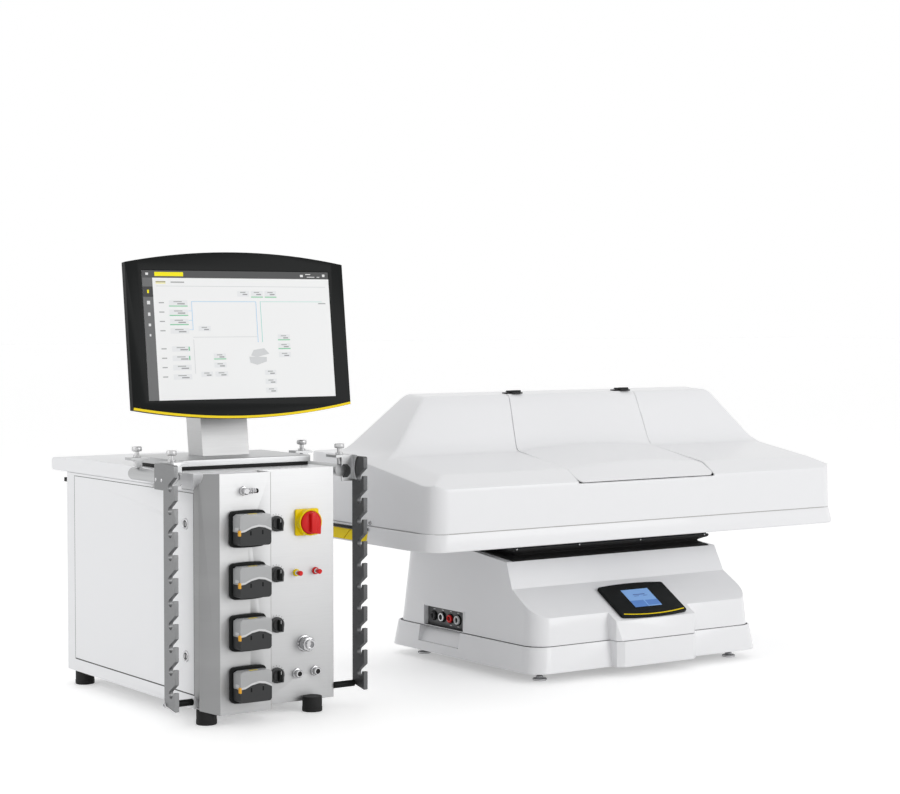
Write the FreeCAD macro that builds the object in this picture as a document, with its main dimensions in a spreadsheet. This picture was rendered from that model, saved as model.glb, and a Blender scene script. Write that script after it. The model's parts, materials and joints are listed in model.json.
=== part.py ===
import FreeCAD, Part
import math
import os

import Sketcher

# Rocking-motion bench bioreactor: a control tower with pumps, sensors and a tilting display,
# and beside it a rocker whose heated tray and hood tilt to and fro on a shaft along X.
# +Z is up, the front faces -Y, and the floor is Z = 0.  Each unit is drawn about its own zero:
# the tower's is the front left corner of its pump panel, the rocker's is the middle of its shaft.

DRIVING = (
    # where each unit's own zero stands
    ("tower_x", -700.1), ("tower_y", -294.8), ("rocker_x", 274.9), ("rocker_y", -54.8),
    # shared stock
    ("sheet_steel", 2), ("cover_sheet", 3), ("fit_gap", 0.3), ("running_gap", 0.05),
    # tower panels and cabinet
    ("panel_bottom", 17), ("panel_tall", 420), ("pump_panel_wide", 101.4), ("panel_step", 45.9),
    ("flank_wide", 30), ("flank_deep", 20.5), ("cabinet_front", 39.5), ("cabinet_back", 557),
    ("cabinet_right", 258.3), ("cabinet_bottom", 26), ("band_bottom", 407.7), ("cabinet_top", 436.5),
    ("cover_bottom", 51), ("cover_top", 402.2), ("cover_back", 522.5), ("cover_gap", 0.5),
    ("frame_rail", 12), ("overhang_back", 628), ("foot_radius", 18.8), ("foot_stem", 8),
    ("lock_radius", 9.8), ("lock_high", 347.3), ("lock_low", 115.2),
    # display and its stand
    ("stand_middle", 114), ("plate_half", 135), ("plate_front", 110), ("plate_back", 290),
    ("plate_bottom", 443), ("plate_top", 455), ("mast_wide", 96.5), ("mast_front", 183),
    ("mast_deep", 55), ("mast_top", 652), ("mast_lean", 7.5), ("display_lean", 6.75),
    ("display_wide", 445.7), ("display_tall", 260), ("display_arch", 20), ("bezel_deep", 13),
    ("display_bottom", 546), ("screen_half", 191), ("screen_low", 15.6), ("screen_high", 245.4),
    ("glass_back", 2.2), ("tilt_y", 228), ("tilt_z", 634), ("pin_radius", 6),
    # hose racks and their clamps
    ("rack_sheet", 8), ("rack_left_x", -82), ("rack_front", 12), ("rack_deep", 39),
    ("rack_bottom", 30), ("rack_top", 454.4), ("head_deep", 73), ("head_tall", 45),
    ("hook_count", 10), ("hook_pitch", 39.6), ("hook_first", 419.4), ("slot_open", 15),
    ("slot_deep", 22), ("seat_radius", 7), ("seat_drop", 4), ("tooth_deep", 6),
    ("rail_inset", 17), ("rail_radius", 11.1), ("rail_front", 63.5), ("rail_back", 215),
    ("rail_z", 427.8), ("rod_radius", 6), ("rod_y", 46.5), ("rod_z", 38),
    ("strap_thick", 4.7), ("strap_half", 20), ("web_front", 46), ("web_sheet", 2.5),
    ("tab_front", 31), ("screw_front", 68), ("screw_back", 201.5), ("screw_head", 9),
    ("screw_head_tall", 8.6), ("screw_shaft", 4), ("screw_bite", 6), ("screw_top", 476.5),
    # pumps
    ("pump_x", 51.5), ("pump_first", 340.5), ("pump_pitch", 90.6), ("base_half", 35),
    ("base_tall", 31), ("base_arch", 3), ("base_deep", 9), ("base_corner", 5), ("pump_half", 31),
    ("pump_tall", 27), ("pump_deep", 35), ("pump_corner", 6), ("pump_wall", 3),
    ("channel_half", 15), ("cover_pin", 3), ("rotor_radius", 19), ("rotor_shaft", 3),
    ("rotor_reach", 20), ("shaft_hole", 9), ("motor_radius", 17), ("motor_long", 62),
    # front fittings
    ("knob_x", 138.5), ("knob_first", 340), ("knob_radius", 12.4), ("knob_deep", 17),
    ("knob_shaft", 4), ("switch_x", 201), ("switch_z", 339.5), ("switch_plate", 48),
    ("switch_shaft", 8), ("collar_radius", 23.5), ("collar_deep", 17), ("pocket_floor", 12),
    ("handle_radius", 20.4), ("hose_x", 46), ("hose_z", 406), ("hose_tail", 5),
    # rocker base
    ("shell_bottom", 19.5), ("lower_half", 297), ("lower_front", -243), ("lower_back", 272),
    ("seam", 70), ("seam_half", 285.5), ("seam_front", -233), ("seam_back", 256),
    ("shell_wall", 4), ("base_round", 42), ("side_draft", 4.6), ("apron_y", -228), ("apron_z", 125),
    ("slope_y", -146), ("slope_z", 174), ("lip_y", -122), ("lip_z", 225), ("gable_z", 237),
    ("bulge_half", 102.5), ("bulge_out", 22), ("console_half", 84), ("console_raise", 7),
    ("scoop_low", 38), ("scoop_front", 13), ("scoop_back", 156), ("bay_front", 9),
    ("bay_back", 149), ("bay_low", 72), ("bay_high", 111), ("bay_floor", 14),
    ("mouth_half", 225), ("mouth_deep", 88), ("pivot_z", 228), ("shaft_radius", 8),
    ("drive_top", 239), ("arm_half", 30), ("rocker_foot", 14.3),
    # rocking parts
    ("gaiter_half", 257), ("gaiter_deep", 122), ("gaiter_top", 247), ("fold_in", 17),
    ("tray_bottom", 268), ("tray_rim", 302), ("tray_half", 534), ("tray_deep", 235),
    ("tray_draft", 9), ("tray_wall", 5), ("tray_corner", 50), ("gate_front", -19), ("gate_back", 112),
    ("gate_bottom", 271.5), ("gate_top", 292), ("gate_deep", 2.6),
    # hood: z levels and outline
    ("hood_half", 523.5), ("hood_deep", 231), ("hood_wall", 3), ("wall_top", 386),
    ("deck_front_y", -192), ("deck_front_z", 409.5), ("crease_y", -25), ("crease_z", 436),
    ("ridge_front_y", 15), ("ridge_front_z", 547.5), ("ridge_back_y", 88), ("ridge_back_z", 552.5),
    ("rear_crease_y", 160), ("peak_half", 372), ("peak_foot_half", 476), ("end_bevel_wide", 43),
    ("end_bevel_drop", 18),
    ("lid_half", 175), ("lid_ridge_half", 165), ("lid_back", 22), ("lid_gap", 1.2),
    ("lid_raise", 3), ("hinge_x", 143), ("hinge_half", 18), ("hinge_long", 22),
    ("hinge_y", 23.5), ("hinge_z", 553.9), ("barrel_radius", 2.5),
)


class Size:
    """A length or angle: its value now, and the expression that ties it to the sheet."""

    def __init__(self, value, text):
        self.value = value
        self.text = text

    def __add__(self, other):
        return join(self, other, "+")

    def __radd__(self, other):
        return join(other, self, "+")

    def __sub__(self, other):
        return join(self, other, "-")

    def __rsub__(self, other):
        return join(other, self, "-")

    def __mul__(self, other):
        return join(self, other, "*")

    def __rmul__(self, other):
        return join(other, self, "*")

    def __truediv__(self, other):
        return join(self, other, "/")

    def __neg__(self):
        return join(0, self, "-")


def size(thing):
    """A plain number as a Size."""
    if isinstance(thing, Size):
        return thing
    return Size(float(thing), "(%.6g)" % thing)


def join(first, second, sign):
    """Two sizes combined by one of + - * /."""
    first = size(first)
    second = size(second)
    results = {
        "+": lambda a, b: a + b,
        "-": lambda a, b: a - b,
        "*": lambda a, b: a * b,
        "/": lambda a, b: a / b,
    }
    value = results[sign](first.value, second.value)
    return Size(value, "(%s %s %s)" % (first.text, sign, second.text))


class Dimensions:
    """The spreadsheet of driving dimensions, each one an attribute that is a Size."""

    def __init__(self, document, table):
        sheet = document.addObject("Spreadsheet::Sheet", "Dims")
        for row, (alias, value) in enumerate(table, 1):
            sheet.set("A%d" % row, alias)
            sheet.set("B%d" % row, "%g" % value)
            sheet.setAlias("B%d" % row, alias)
            setattr(self, alias, Size(float(value), "Dims." + alias))


doc = FreeCAD.newDocument("BenchBioreactor")
d = Dimensions(doc, DRIVING)
doc.recompute()

AXES = {
    "X": FreeCAD.Rotation(FreeCAD.Vector(0, 1, 0), 90),
    "Y": FreeCAD.Rotation(FreeCAD.Vector(1, 0, 0), -90),
    "Z": FreeCAD.Rotation(),
}
UNITS = {"tower": (d.tower_x, d.tower_y), "rocker": (d.rocker_x, d.rocker_y)}
corners_of = {}
sub_parts = []


# ---- drawing helpers -------------------------------------------------------------------------

def bind(thing, path, length):
    """Ties one property of a document object to the sheet."""
    thing.setExpression(path, size(length).text)


def put(thing, x, y, z, rotation=None):
    """Places an object at a bound position."""
    spot = [size(x), size(y), size(z)]
    base = FreeCAD.Vector(*[part.value for part in spot])
    thing.Placement = FreeCAD.Placement(base, rotation or FreeCAD.Rotation())
    for name, part in zip("xyz", spot):
        bind(thing, "Placement.Base." + name, part)
    corners_of[thing.Name] = spot
    return thing


def box(x0, x1, y0, y1, z0, z1):
    """A block between two corners."""
    block = doc.addObject("Part::Box", "Block")
    bind(block, "Length", size(x1) - x0)
    bind(block, "Width", size(y1) - y0)
    bind(block, "Height", size(z1) - z0)
    return put(block, x0, y0, z0)


def rod(axis, radius, start, end, across):
    """A cylinder along X, Y or Z from start to end, with its other two coordinates in across."""
    bar = doc.addObject("Part::Cylinder", "Rod")
    bind(bar, "Radius", radius)
    bind(bar, "Height", size(end) - start)
    spot = list(across)
    spot.insert("XYZ".index(axis), start)
    return put(bar, *spot, rotation=AXES[axis])


def taper(axis, radius, end_radius, start, end, across):
    """A cone frustum along X, Y or Z."""
    bar = doc.addObject("Part::Cone", "Taper")
    bind(bar, "Radius1", radius)
    bind(bar, "Radius2", end_radius)
    bind(bar, "Height", size(end) - start)
    spot = list(across)
    spot.insert("XYZ".index(axis), start)
    return put(bar, *spot, rotation=AXES[axis])


def fuse(*things):
    """Several solids that are one piece."""
    whole = doc.addObject("Part::MultiFuse", "Whole")
    whole.Shapes = list(things)
    return whole


def cut(base, *tools):
    """A solid with others taken out of it."""
    result = doc.addObject("Part::Cut", "Cut")
    result.Base = base
    result.Tool = tools[0] if len(tools) == 1 else fuse(*tools)
    return result


def common(base, tool):
    """What two solids share."""
    result = doc.addObject("Part::Common", "Common")
    result.Base = base
    result.Tool = tool
    return result


def group(*things):
    """Separate solids that share one node."""
    whole = doc.addObject("Part::Compound", "Group")
    whole.Links = list(things)
    return whole


def outline(body, plane_role, offset, points):
    """A closed sketch of straight lines, each corner tied to the sheet."""
    sketch = body.newObject("Sketcher::SketchObject", "Outline")
    plane = [item for item in body.Origin.OriginFeatures if item.Role == plane_role][0]
    sketch.AttachmentSupport = [(plane, "")]
    sketch.MapMode = "FlatFace"
    bind(sketch, "AttachmentOffset.Base.z", offset)
    spots = [(size(u), size(v)) for u, v in points]
    count = len(spots)
    for index in range(count):
        here = FreeCAD.Vector(spots[index][0].value, spots[index][1].value, 0)
        there = spots[(index + 1) % count]
        sketch.addGeometry(Part.LineSegment(here, FreeCAD.Vector(there[0].value, there[1].value, 0)))
    for index in range(count):
        sketch.addConstraint(Sketcher.Constraint("Coincident", index, 2, (index + 1) % count, 1))
    for index, (u, v) in enumerate(spots):
        for kind, length in (("DistanceX", u), ("DistanceY", v)):
            place = sketch.addConstraint(Sketcher.Constraint(kind, -1, 1, index, 1, length.value))
            bind(sketch, "Constraints[%d]" % place, length)
    return sketch


def prism(plane, points, start, end, draft=0, corner=0, corners=()):
    """A padded sketch: plane XY, XZ or YZ, from start to end along the third axis.

    The listed corners of the outline are rounded along the pad."""
    body = doc.addObject("PartDesign::Body", "Body")
    along_y = plane == "XZ"
    offset = -size(start) if along_y else size(start)
    sketch = outline(body, plane + "_Plane", offset, points)
    pad = body.newObject("PartDesign::Pad", "Pad")
    pad.Profile = sketch
    bind(pad, "Length", size(end) - start)
    pad.Reversed = along_y
    if draft:
        bind(pad, "TaperAngle", draft)
    if corners:
        doc.recompute()
        places = [(size(points[index][0]).value, size(points[index][1]).value) for index in corners]
        names = pad_edges(pad.Shape, plane, size(start).value, places)
        rounding = body.newObject("PartDesign::Fillet", "Rounding")
        rounding.Base = (pad, names)
        bind(rounding, "Radius", corner)
    return body


def pad_edges(shape, plane, level, places):
    """The edges that rise from the given places of the outline."""
    third = {"XY": 2, "XZ": 1, "YZ": 0}[plane]
    flat = [index for index in range(3) if index != third]
    names = []
    for number, edge in enumerate(shape.Edges, 1):
        ends = [vertex.Point for vertex in edge.Vertexes]
        on_level = [end for end in ends if abs(end[third] - level) < 1e-6]
        if len(on_level) != 1:
            continue
        spot = on_level[0]
        if any(math.hypot(spot[flat[0]] - u, spot[flat[1]] - v) < 1e-3 for u, v in places):
            names.append("Edge%d" % number)
    return names


def name_part(label, unit, thing):
    """Makes an object a sub-part of its unit."""
    x, y = UNITS[unit]
    spot = corners_of.get(thing.Name, [size(0), size(0), size(0)])
    rotation = thing.Placement.Rotation
    put(thing, x + spot[0], y + spot[1], spot[2], rotation)
    thing.Label = label
    sub_parts.append(thing)


def mirror_x(x, middle):
    """The same distance on the other side of a middle plane."""
    return middle * 2 - x


# ---- control tower: cabinet ------------------------------------------------------------------

def cabinet_sides():
    """The outer faces of the cabinet's left and right sides."""
    return -d.flank_wide, d.cabinet_right - d.fit_gap


def lock_places():
    """Depth of the locks in the left cover, the same in the right cover, and their two heights."""
    from_edge = 29.5
    left_y = d.cabinet_front + from_edge
    right_y = d.panel_step + d.sheet_steel + from_edge
    return left_y, right_y, (d.lock_high, d.lock_low)


def tower_frame():
    """Welded chassis: posts and rails, open for the covers, closed at the bottom."""
    left, right = cabinet_sides()
    rail = d.frame_rail
    front = d.panel_step + d.sheet_steel
    back = d.cabinet_back
    low = d.cabinet_bottom
    high = d.band_bottom
    step = d.sheet_steel + d.fit_gap
    panel_right = d.pump_panel_wide
    past = 1
    cage = box(left, right, front, back, low, high)
    corner_post = box(left, panel_right - d.sheet_steel * 2, d.cabinet_front + d.fit_gap,
                      front + rail, low, high)
    toe = prism("XY", ((left + step, front), (left + step, d.flank_deep + step), (step, step),
                       (panel_right - step, step), (panel_right - step, front)),
                low, low + d.sheet_steel)
    inside = box(left + rail, right - rail, front + rail, back - rail, low + d.cover_sheet,
                 high + past)
    through = box(left - past, right + past, front + rail * 2, d.cover_back - rail, low + rail * 3,
                  high - rail * 2)
    rear = box(left + rail * 2, right - rail * 2, back - rail - past, back + past, low + rail,
               high - rail)
    pump_front = box(left + rail, panel_right - rail, d.cabinet_front, front + rail * 1.5,
                     low + rail * 1.5, high - rail)
    control_front = box(panel_right + rail, right - rail, front - past, front + rail * 1.5,
                        low + rail, high - rail)
    recess = d.cover_sheet + d.fit_gap
    ends = (d.cover_back + d.cover_gap, d.cover_bottom - d.cover_gap, d.cover_top + d.cover_gap)
    left_recess = box(left - past, left + recess, d.cabinet_front, *ends)
    right_recess = box(right - recess, right + past, front - past, *ends)
    left_y, right_y, heights = lock_places()
    clear = d.lock_radius + d.fit_gap
    lock_holes = []
    for z in heights:
        lock_holes.append(rod("X", clear, left - past, left + rail + past, (left_y, z)))
        lock_holes.append(rod("X", clear, right - rail - past, right + past, (right_y, z)))
    return cut(fuse(cage, corner_post, toe), inside, through, rear, pump_front, control_front,
               left_recess, right_recess, *lock_holes)


def side_cover(x0, x1, front, lock_y):
    """Flat removable cover with a hole for each of its two quarter-turn locks."""
    sheet = box(x0, x1, front, d.cover_back, d.cover_bottom, d.cover_top)
    heights = lock_places()[2]
    past = 1
    holes = [rod("X", d.lock_radius + d.running_gap, size(x0) - past, size(x1) + past, (lock_y, z))
             for z in heights]
    return cut(sheet, *holes)


def side_cover_locks():
    """Quarter-turn locks, two in each side cover."""
    left, right = cabinet_sides()
    left_y, right_y, heights = lock_places()
    proud = 1.5
    deep = 8
    locks = []
    for z in heights:
        locks.append(rod("X", d.lock_radius, left - proud, left + deep, (left_y, z)))
        locks.append(rod("X", d.lock_radius, right - deep, right + proud, (right_y, z)))
    return group(*locks)


def rear_panel():
    """Back cover with a field of cooling slots."""
    left, right = cabinet_sides()
    inset = d.frame_rail * 2 + d.fit_gap
    edge = d.frame_rail + d.fit_gap
    high = d.band_bottom - edge
    back = d.cabinet_back
    sheet = box(left + inset, right - inset, back - d.cover_sheet, back, d.cabinet_bottom + edge, high)
    slot_left = left + inset + 40
    slot_wide = 110
    slot_tall = 6
    first_slot = high - 60
    slots = []
    for row in range(8):
        low = first_slot - row * slot_tall * 2
        slots.append(box(slot_left, slot_left + slot_wide, back - d.cover_sheet * 2, back + 1,
                         low, low + slot_tall))
    return cut(sheet, *slots)


def tower_top_cover():
    """Top cover: a shallow cap with a slab that overhangs behind."""
    left, right = cabinet_sides()
    front = d.panel_step + d.sheet_steel
    low = d.band_bottom + d.fit_gap
    high = d.cabinet_top
    sheet = d.cover_sheet
    slab_top = high - 3.5
    ramp = 4
    slab_corner = 8
    profile = ((front, low), (d.overhang_back, low), (d.overhang_back, slab_top),
               (d.cabinet_back + ramp, slab_top), (d.cabinet_back, high), (front, high))
    cap = prism("YZ", profile, left, right, 0, slab_corner, (1, 2))
    nose = box(left, d.pump_panel_wide - d.sheet_steel * 2, d.cabinet_front + d.fit_gap, front + 1,
               low, high)
    hollow = box(left + sheet, right - sheet, front + sheet, d.cabinet_back - sheet, low - 1,
                 high - sheet)
    return cut(fuse(cap, nose), hollow)


def cable_hooks():
    """J-shaped hooks under the rear overhang."""
    strip = 4
    wide = 12
    reach = 20
    lip = 8
    back = d.cabinet_back + 1
    top = d.band_bottom + d.fit_gap
    profile = ((back, top), (back, top - reach), (back + reach, top - reach),
               (back + reach, top - reach + lip), (back + reach - strip, top - reach + lip),
               (back + reach - strip, top - reach + strip), (back + strip, top - reach + strip),
               (back + strip, top))
    left, right = cabinet_sides()
    edge = 4
    return group(*[prism("YZ", profile, x, x + wide) for x in (left + edge, right - wide - edge)])


def pump_panel():
    """Stainless sheet folded to a shallow box front, its left flank bevelled back."""
    steel = d.sheet_steel
    left = -d.flank_wide
    right = d.pump_panel_wide
    front = d.cabinet_front
    low = d.panel_bottom
    high = d.panel_bottom + d.panel_tall
    past = 1
    turn = math.atan2(d.flank_deep.value, d.flank_wide.value)
    at_front = math.tan(turn / 2)
    at_side = math.tan((math.pi / 2 - turn) / 2)
    outer = [(left, front), (left, d.flank_deep), (0, 0), (right, 0), (right, d.panel_step)]
    inner = [(right - steel, d.panel_step), (right - steel, steel), (steel * at_front, steel),
             (left + steel, d.flank_deep + steel * at_side), (left + steel, front)]
    sheet = prism("XY", outer + inner, low, high)
    toe_rise = 9.3
    toe = prism("XZ", ((0, low - past), (0, low), (left - past, low + toe_rise),
                       (left - past, low - past)), -past, front + past)
    heel_front = d.flank_deep - 4.5
    heel = prism("YZ", ((heel_front, high + past), (heel_front, high - 4),
                        (heel_front + 2.5, high - 15), (front + past, high - 29),
                        (front + past, high + past)), left - past, left + 22)
    notch = box(left - past, left + steel + past, d.flank_deep + past, front + past, low, low + 29)
    holes = [rod("Y", d.shaft_hole, -past, steel + past, (d.pump_x, z)) for z in pump_heights()]
    holes.append(rod("Y", d.hose_tail + d.running_gap, -past, steel + past, (d.hose_x, d.hose_z)))
    return cut(sheet, toe, heel, notch, *holes)


def control_panel():
    """Flat stainless panel, set back from the pump panel, holed for its fittings."""
    front = d.panel_step
    back = front + d.sheet_steel
    past = 1
    gap = d.running_gap
    sheet = box(d.pump_panel_wide + d.fit_gap, d.cabinet_right, front, back, d.panel_bottom,
                d.panel_bottom + d.panel_tall)
    holes = [rod("Y", d.knob_shaft + gap, front - past, back + past, (d.knob_x, z))
             for z in knob_heights()]
    holes.append(rod("Y", d.switch_shaft + gap, front - past, back + past, (d.switch_x, d.switch_z)))
    for x, z, tail in SOCKETS:
        holes.append(rod("Y", tail + gap, front - past, back + past, (x, z)))
    return cut(sheet, *holes)


def tower_feet():
    """Four round rubber feet, each narrower above the panels' lower edge."""
    puck_top = d.panel_bottom - 1
    spots = ((-11.5, 30), (203, 60), (-7, 521), (203, 521))
    feet = []
    for spot in spots:
        puck = rod("Z", d.foot_radius, 0, puck_top, spot)
        stem = rod("Z", d.foot_stem, puck_top - 1, d.cabinet_bottom, spot)
        feet.append(fuse(puck, stem))
    return group(*feet)


# ---- control tower: inside -------------------------------------------------------------------

def power_supply():
    """Mains power supply on the cabinet floor."""
    low = d.cabinet_bottom + d.cover_sheet
    wide = 160
    deep = 190
    tall = 70
    left = 40
    front = 330
    return box(left, left + wide, front, front + deep, low, low + tall)


def controller_unit():
    """Controller with its circuit boards in a metal case, behind the control panel."""
    low = d.cabinet_bottom + d.cover_sheet
    wide = 116
    deep = 150
    tall = 300
    left = 120
    front = 150
    return box(left, left + wide, front, front + deep, low, low + tall)


def pump_motors():
    """Gear motors that turn the four pump rotors from behind the pump panel."""
    start = d.sheet_steel + d.fit_gap
    motors = []
    for z in pump_heights():
        motor = rod("Y", d.motor_radius, start, start + d.motor_long, (d.pump_x, z))
        bore = rod("Y", d.rotor_shaft + d.running_gap, start - 1, d.rotor_reach + 1, (d.pump_x, z))
        motors.append(cut(motor, bore))
    return group(*motors)


# ---- control tower: pumps and front fittings -------------------------------------------------

# The pump cover's lower edge, as steps from the pump's centre: it rises over the tubing.
COVER_EDGE = ((-32, -4), (-22, -3), (-9, 2.5), (5.5, 5), (18, 3), (32, -3))


def pump_heights():
    """Centre heights of pumps A to D."""
    return [d.pump_first - d.pump_pitch * index for index in range(4)]


def knob_heights():
    """Centre heights of selector knobs A to D."""
    return [d.knob_first - d.pump_pitch * index for index in range(4)]


def pump_block(z, back):
    """The whole front part of a pump, head and cover together."""
    half = d.pump_half
    tall = d.pump_tall
    x = d.pump_x
    shape = ((x - half, z - tall), (x + half, z - tall), (x + half, z + tall), (x - half, z + tall))
    return prism("XZ", shape, -d.pump_deep, back, 0, d.pump_corner, (0, 1, 2, 3))


def above_edge(z, gap):
    """Everything above the cover's lower edge."""
    reach = d.pump_half + 1
    points = [(d.pump_x + along, z + up + gap) for along, up in COVER_EDGE]
    points += [(d.pump_x + reach, z + reach), (d.pump_x - reach, z + reach)]
    return prism("XZ", points, -d.pump_deep - 1, -d.base_deep)


def pump_head(z):
    """Black base plate and the lower half of the pump, its track open to the top."""
    x = d.pump_x
    half = d.base_half
    tall = d.base_tall
    crown = tall + d.base_arch
    shape = ((x - half, z - tall), (x, z - crown), (x + half, z - tall), (x + half, z + tall),
             (x, z + crown), (x - half, z + tall))
    plate = prism("XZ", shape, -d.base_deep, 0, 0, d.base_corner, (0, 2, 3, 5))
    lower = cut(pump_block(z, -d.base_deep + 1), above_edge(z, 0))
    front = d.pump_wall - d.pump_deep
    back = -d.base_deep - 1.5
    track = rod("Y", d.rotor_radius + 2, front, back, (x, z))
    channel = box(x - d.channel_half, x + d.channel_half, front, back, z - d.pump_tall - 1, z)
    shaft_hole = rod("Y", d.rotor_shaft + d.fit_gap, back - 1, 1, (x, z))
    return cut(fuse(plate, lower), track, channel, shaft_hole)


def pump_rotor(z):
    """Three-roller rotor on its shaft."""
    x = d.pump_x
    front = d.pump_wall - d.pump_deep + 1
    back = -d.base_deep - 3
    hub = rod("Y", d.rotor_radius / 2, front, back, (x, z))
    shaft = rod("Y", d.rotor_shaft, back - 1, d.rotor_reach, (x, z))
    roller = 5
    reach = d.rotor_radius - roller
    rollers = []
    for index in range(3):
        angle = math.radians(90 + 120 * index)
        spot = (x + reach * round(math.cos(angle), 6), z + reach * round(math.sin(angle), 6))
        rollers.append(rod("Y", roller, front + 1, back - 1, spot))
    return fuse(hub, shaft, *rollers)


def pump_cover(z):
    """Flip-up cover with an arched lower edge and a round hinge along its back top corner."""
    x = d.pump_x
    half = d.pump_half
    wall = d.pump_wall
    back = -d.base_deep - d.fit_gap
    top = z + d.pump_tall
    pin = d.cover_pin
    past = 1
    shell = common(pump_block(z, back), above_edge(z, d.fit_gap))
    hollow = box(x - half + wall, x + half - wall, wall - d.pump_deep, back + past, z - 10, top - wall)
    corner = box(x - half - past, x + half + past, back - pin, back + past, top - pin, top + past)
    barrel = rod("X", pin, x - half + d.pump_corner, x + half - d.pump_corner, (back - pin, top - pin))
    return fuse(cut(shell, hollow, corner), barrel)


def selector_knob(z):
    """Knob with a pointed corner and an upright grip, on a short shaft."""
    front = d.panel_step - 0.5
    x = d.knob_x
    radius = d.knob_radius
    skirt_deep = 5
    grip_half = 4
    point = radius - 0.6
    skirt = rod("Y", radius, front - skirt_deep, front, (x, z))
    pointer = box(x, x + point, front - skirt_deep, front, z - point, z)
    grip = rod("Y", radius - 2, front - d.knob_deep, front - skirt_deep + 1, (x, z))
    shaft = rod("Y", d.knob_shaft, front - 1, d.panel_step + 14, (x, z))
    flats = [box(x0, x1, front - d.knob_deep - 1, front - skirt_deep, z - radius, z + radius)
             for x0, x1 in ((x - radius, x - grip_half), (x + grip_half, x + radius))]
    return cut(fuse(skirt, pointer, grip, shaft), *flats)


def main_switch_plate():
    """Square plate with a round collar that the main switch handle sits in."""
    half = d.switch_plate / 2
    x = d.switch_x
    z = d.switch_z
    front = d.panel_step
    plate_thick = 4
    corner = 4
    shape = ((x - half, z - half), (x + half, z - half), (x + half, z + half), (x - half, z + half))
    plate = prism("XZ", shape, front - plate_thick, front, 0, corner, (0, 1, 2, 3))
    collar = rod("Y", d.collar_radius, front - d.collar_deep, front - plate_thick + 1, (x, z))
    pocket = rod("Y", d.handle_radius + d.fit_gap, front - d.collar_deep - 1, front - d.pocket_floor,
                 (x, z))
    hole = rod("Y", d.switch_shaft + d.running_gap, front - d.collar_deep, front + 1, (x, z))
    return cut(fuse(plate, collar), pocket, hole)


def main_switch_handle():
    """Round handle with a raised grip bar, on the switch shaft."""
    x = d.switch_x
    z = d.switch_z
    front = d.panel_step
    back = front - d.pocket_floor - d.fit_gap
    face = front - d.collar_deep - 3
    grip_half = 6
    grip_reach = d.handle_radius - 1
    disc = rod("Y", d.handle_radius, face, back, (x, z))
    bar = box(x - grip_half, x + grip_half, face - 9, face + 1, z - grip_reach, z + grip_reach)
    shaft = rod("Y", d.switch_shaft, back - 1, front + 12, (x, z))
    return fuse(disc, bar, shaft)


# The control panel's sockets: their x and z, and the radius of the tail behind the panel.
SOCKETS = (
    (179.7, 249.5, 4), (219.5, 250.3, 4), (196, 121, 12), (180, 68, 6), (218, 69, 6),
)


def screwed_socket(place, ring_radius, cap_radius, reach):
    """A socket with a ring against the panel, a capped nose, and a tail behind."""
    x, z, tail_radius = place
    front = d.panel_step
    ring_deep = 4
    tail_deep = 16
    ring = rod("Y", ring_radius, front - ring_deep, front, (x, z))
    nose = rod("Y", cap_radius, front - reach, front - ring_deep + 1, (x, z))
    tail = rod("Y", tail_radius, front - 1, front + tail_deep, (x, z))
    return fuse(ring, nose, tail)


def sensor_sockets():
    """The two capped sensor sockets in the middle of the control panel."""
    return group(*[screwed_socket(place, 6.5, 4.5, 18) for place in SOCKETS[:2]])


def lower_sockets():
    """The two round sockets at the foot of the control panel."""
    return group(*[screwed_socket(place, 9.5, 7, 12) for place in SOCKETS[3:]])


def level_connector():
    """Large turned connector."""
    return screwed_socket(SOCKETS[2], 15, 13, 25)


def gas_overlay_fitting():
    """Barbed hose fitting on the pump panel, for the overlay gas."""
    x = d.hose_x
    z = d.hose_z
    spout_y = -9
    spout_radius = 3.5
    ridge_radius = 5
    ridge_long = 4
    body = rod("Y", 6, -14, 0, (x, z))
    tail = rod("Y", d.hose_tail, -1, 20, (x, z))
    nut = rod("Y", 8.5, -4, 0, (x, z))
    spout = rod("X", spout_radius, x - 2, x + 22, (spout_y, z))
    ridges = []
    for place in (8, 13, 18):
        start = x + place
        ridges.append(taper("X", ridge_radius, spout_radius - 0.1, start, start + ridge_long,
                            (spout_y, z)))
    return fuse(body, tail, spout, nut, *ridges)


# ---- control tower: hose racks ---------------------------------------------------------------

def rack(x0):
    """Plate with ten open hooks along its front edge and a deeper head."""
    front = d.rack_front
    back = front + d.rack_deep
    x1 = x0 + d.rack_sheet
    head_low = d.rack_top - d.head_tall
    head_back = front + d.head_deep
    past = 1
    foot_slant = 8
    shape = ((front, d.rack_bottom), (back, d.rack_bottom + foot_slant), (back, head_low),
             (head_back, head_low), (head_back, d.rack_top), (front, d.rack_top))
    plate = prism("YZ", shape, x0, x1, 0, 4, (4, 5))
    seat = d.seat_radius
    seat_y = front + d.slot_deep - seat
    slots = []
    for index in range(int(d.hook_count.value)):
        tip = d.hook_first - d.hook_pitch * index
        seat_z = tip - d.seat_drop
        mouth = ((front - past, tip), (front + d.tooth_deep, tip), (seat_y - seat, seat_z),
                 (seat_y + seat * 0.75, seat_z + seat * 0.7), (front - past, tip + d.slot_open))
        slots.append(prism("YZ", mouth, size(x0) - past, x1 + past))
        slots.append(rod("X", seat, size(x0) - past, x1 + past, (seat_y, seat_z)))
    return cut(plate, *slots)


def both_sides(make):
    """A left-hand piece and its mirror twin about the middle of the cabinet."""
    pieces = []
    for side in (-1, 1):
        pieces.append(make(side))
    return pieces


def across(side, reach):
    """An X position at a distance from the middle, on one side."""
    return d.stand_middle + reach * side


def span(side, near, far):
    """Low and high X between two distances from the middle, on one side."""
    ends = (across(side, size(near)), across(side, size(far)))
    return ends if side > 0 else (ends[1], ends[0])


def rack_reach():
    """Distance from the middle of the tower to a rack's inner face."""
    return d.stand_middle - d.rack_left_x - d.rack_sheet


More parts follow.
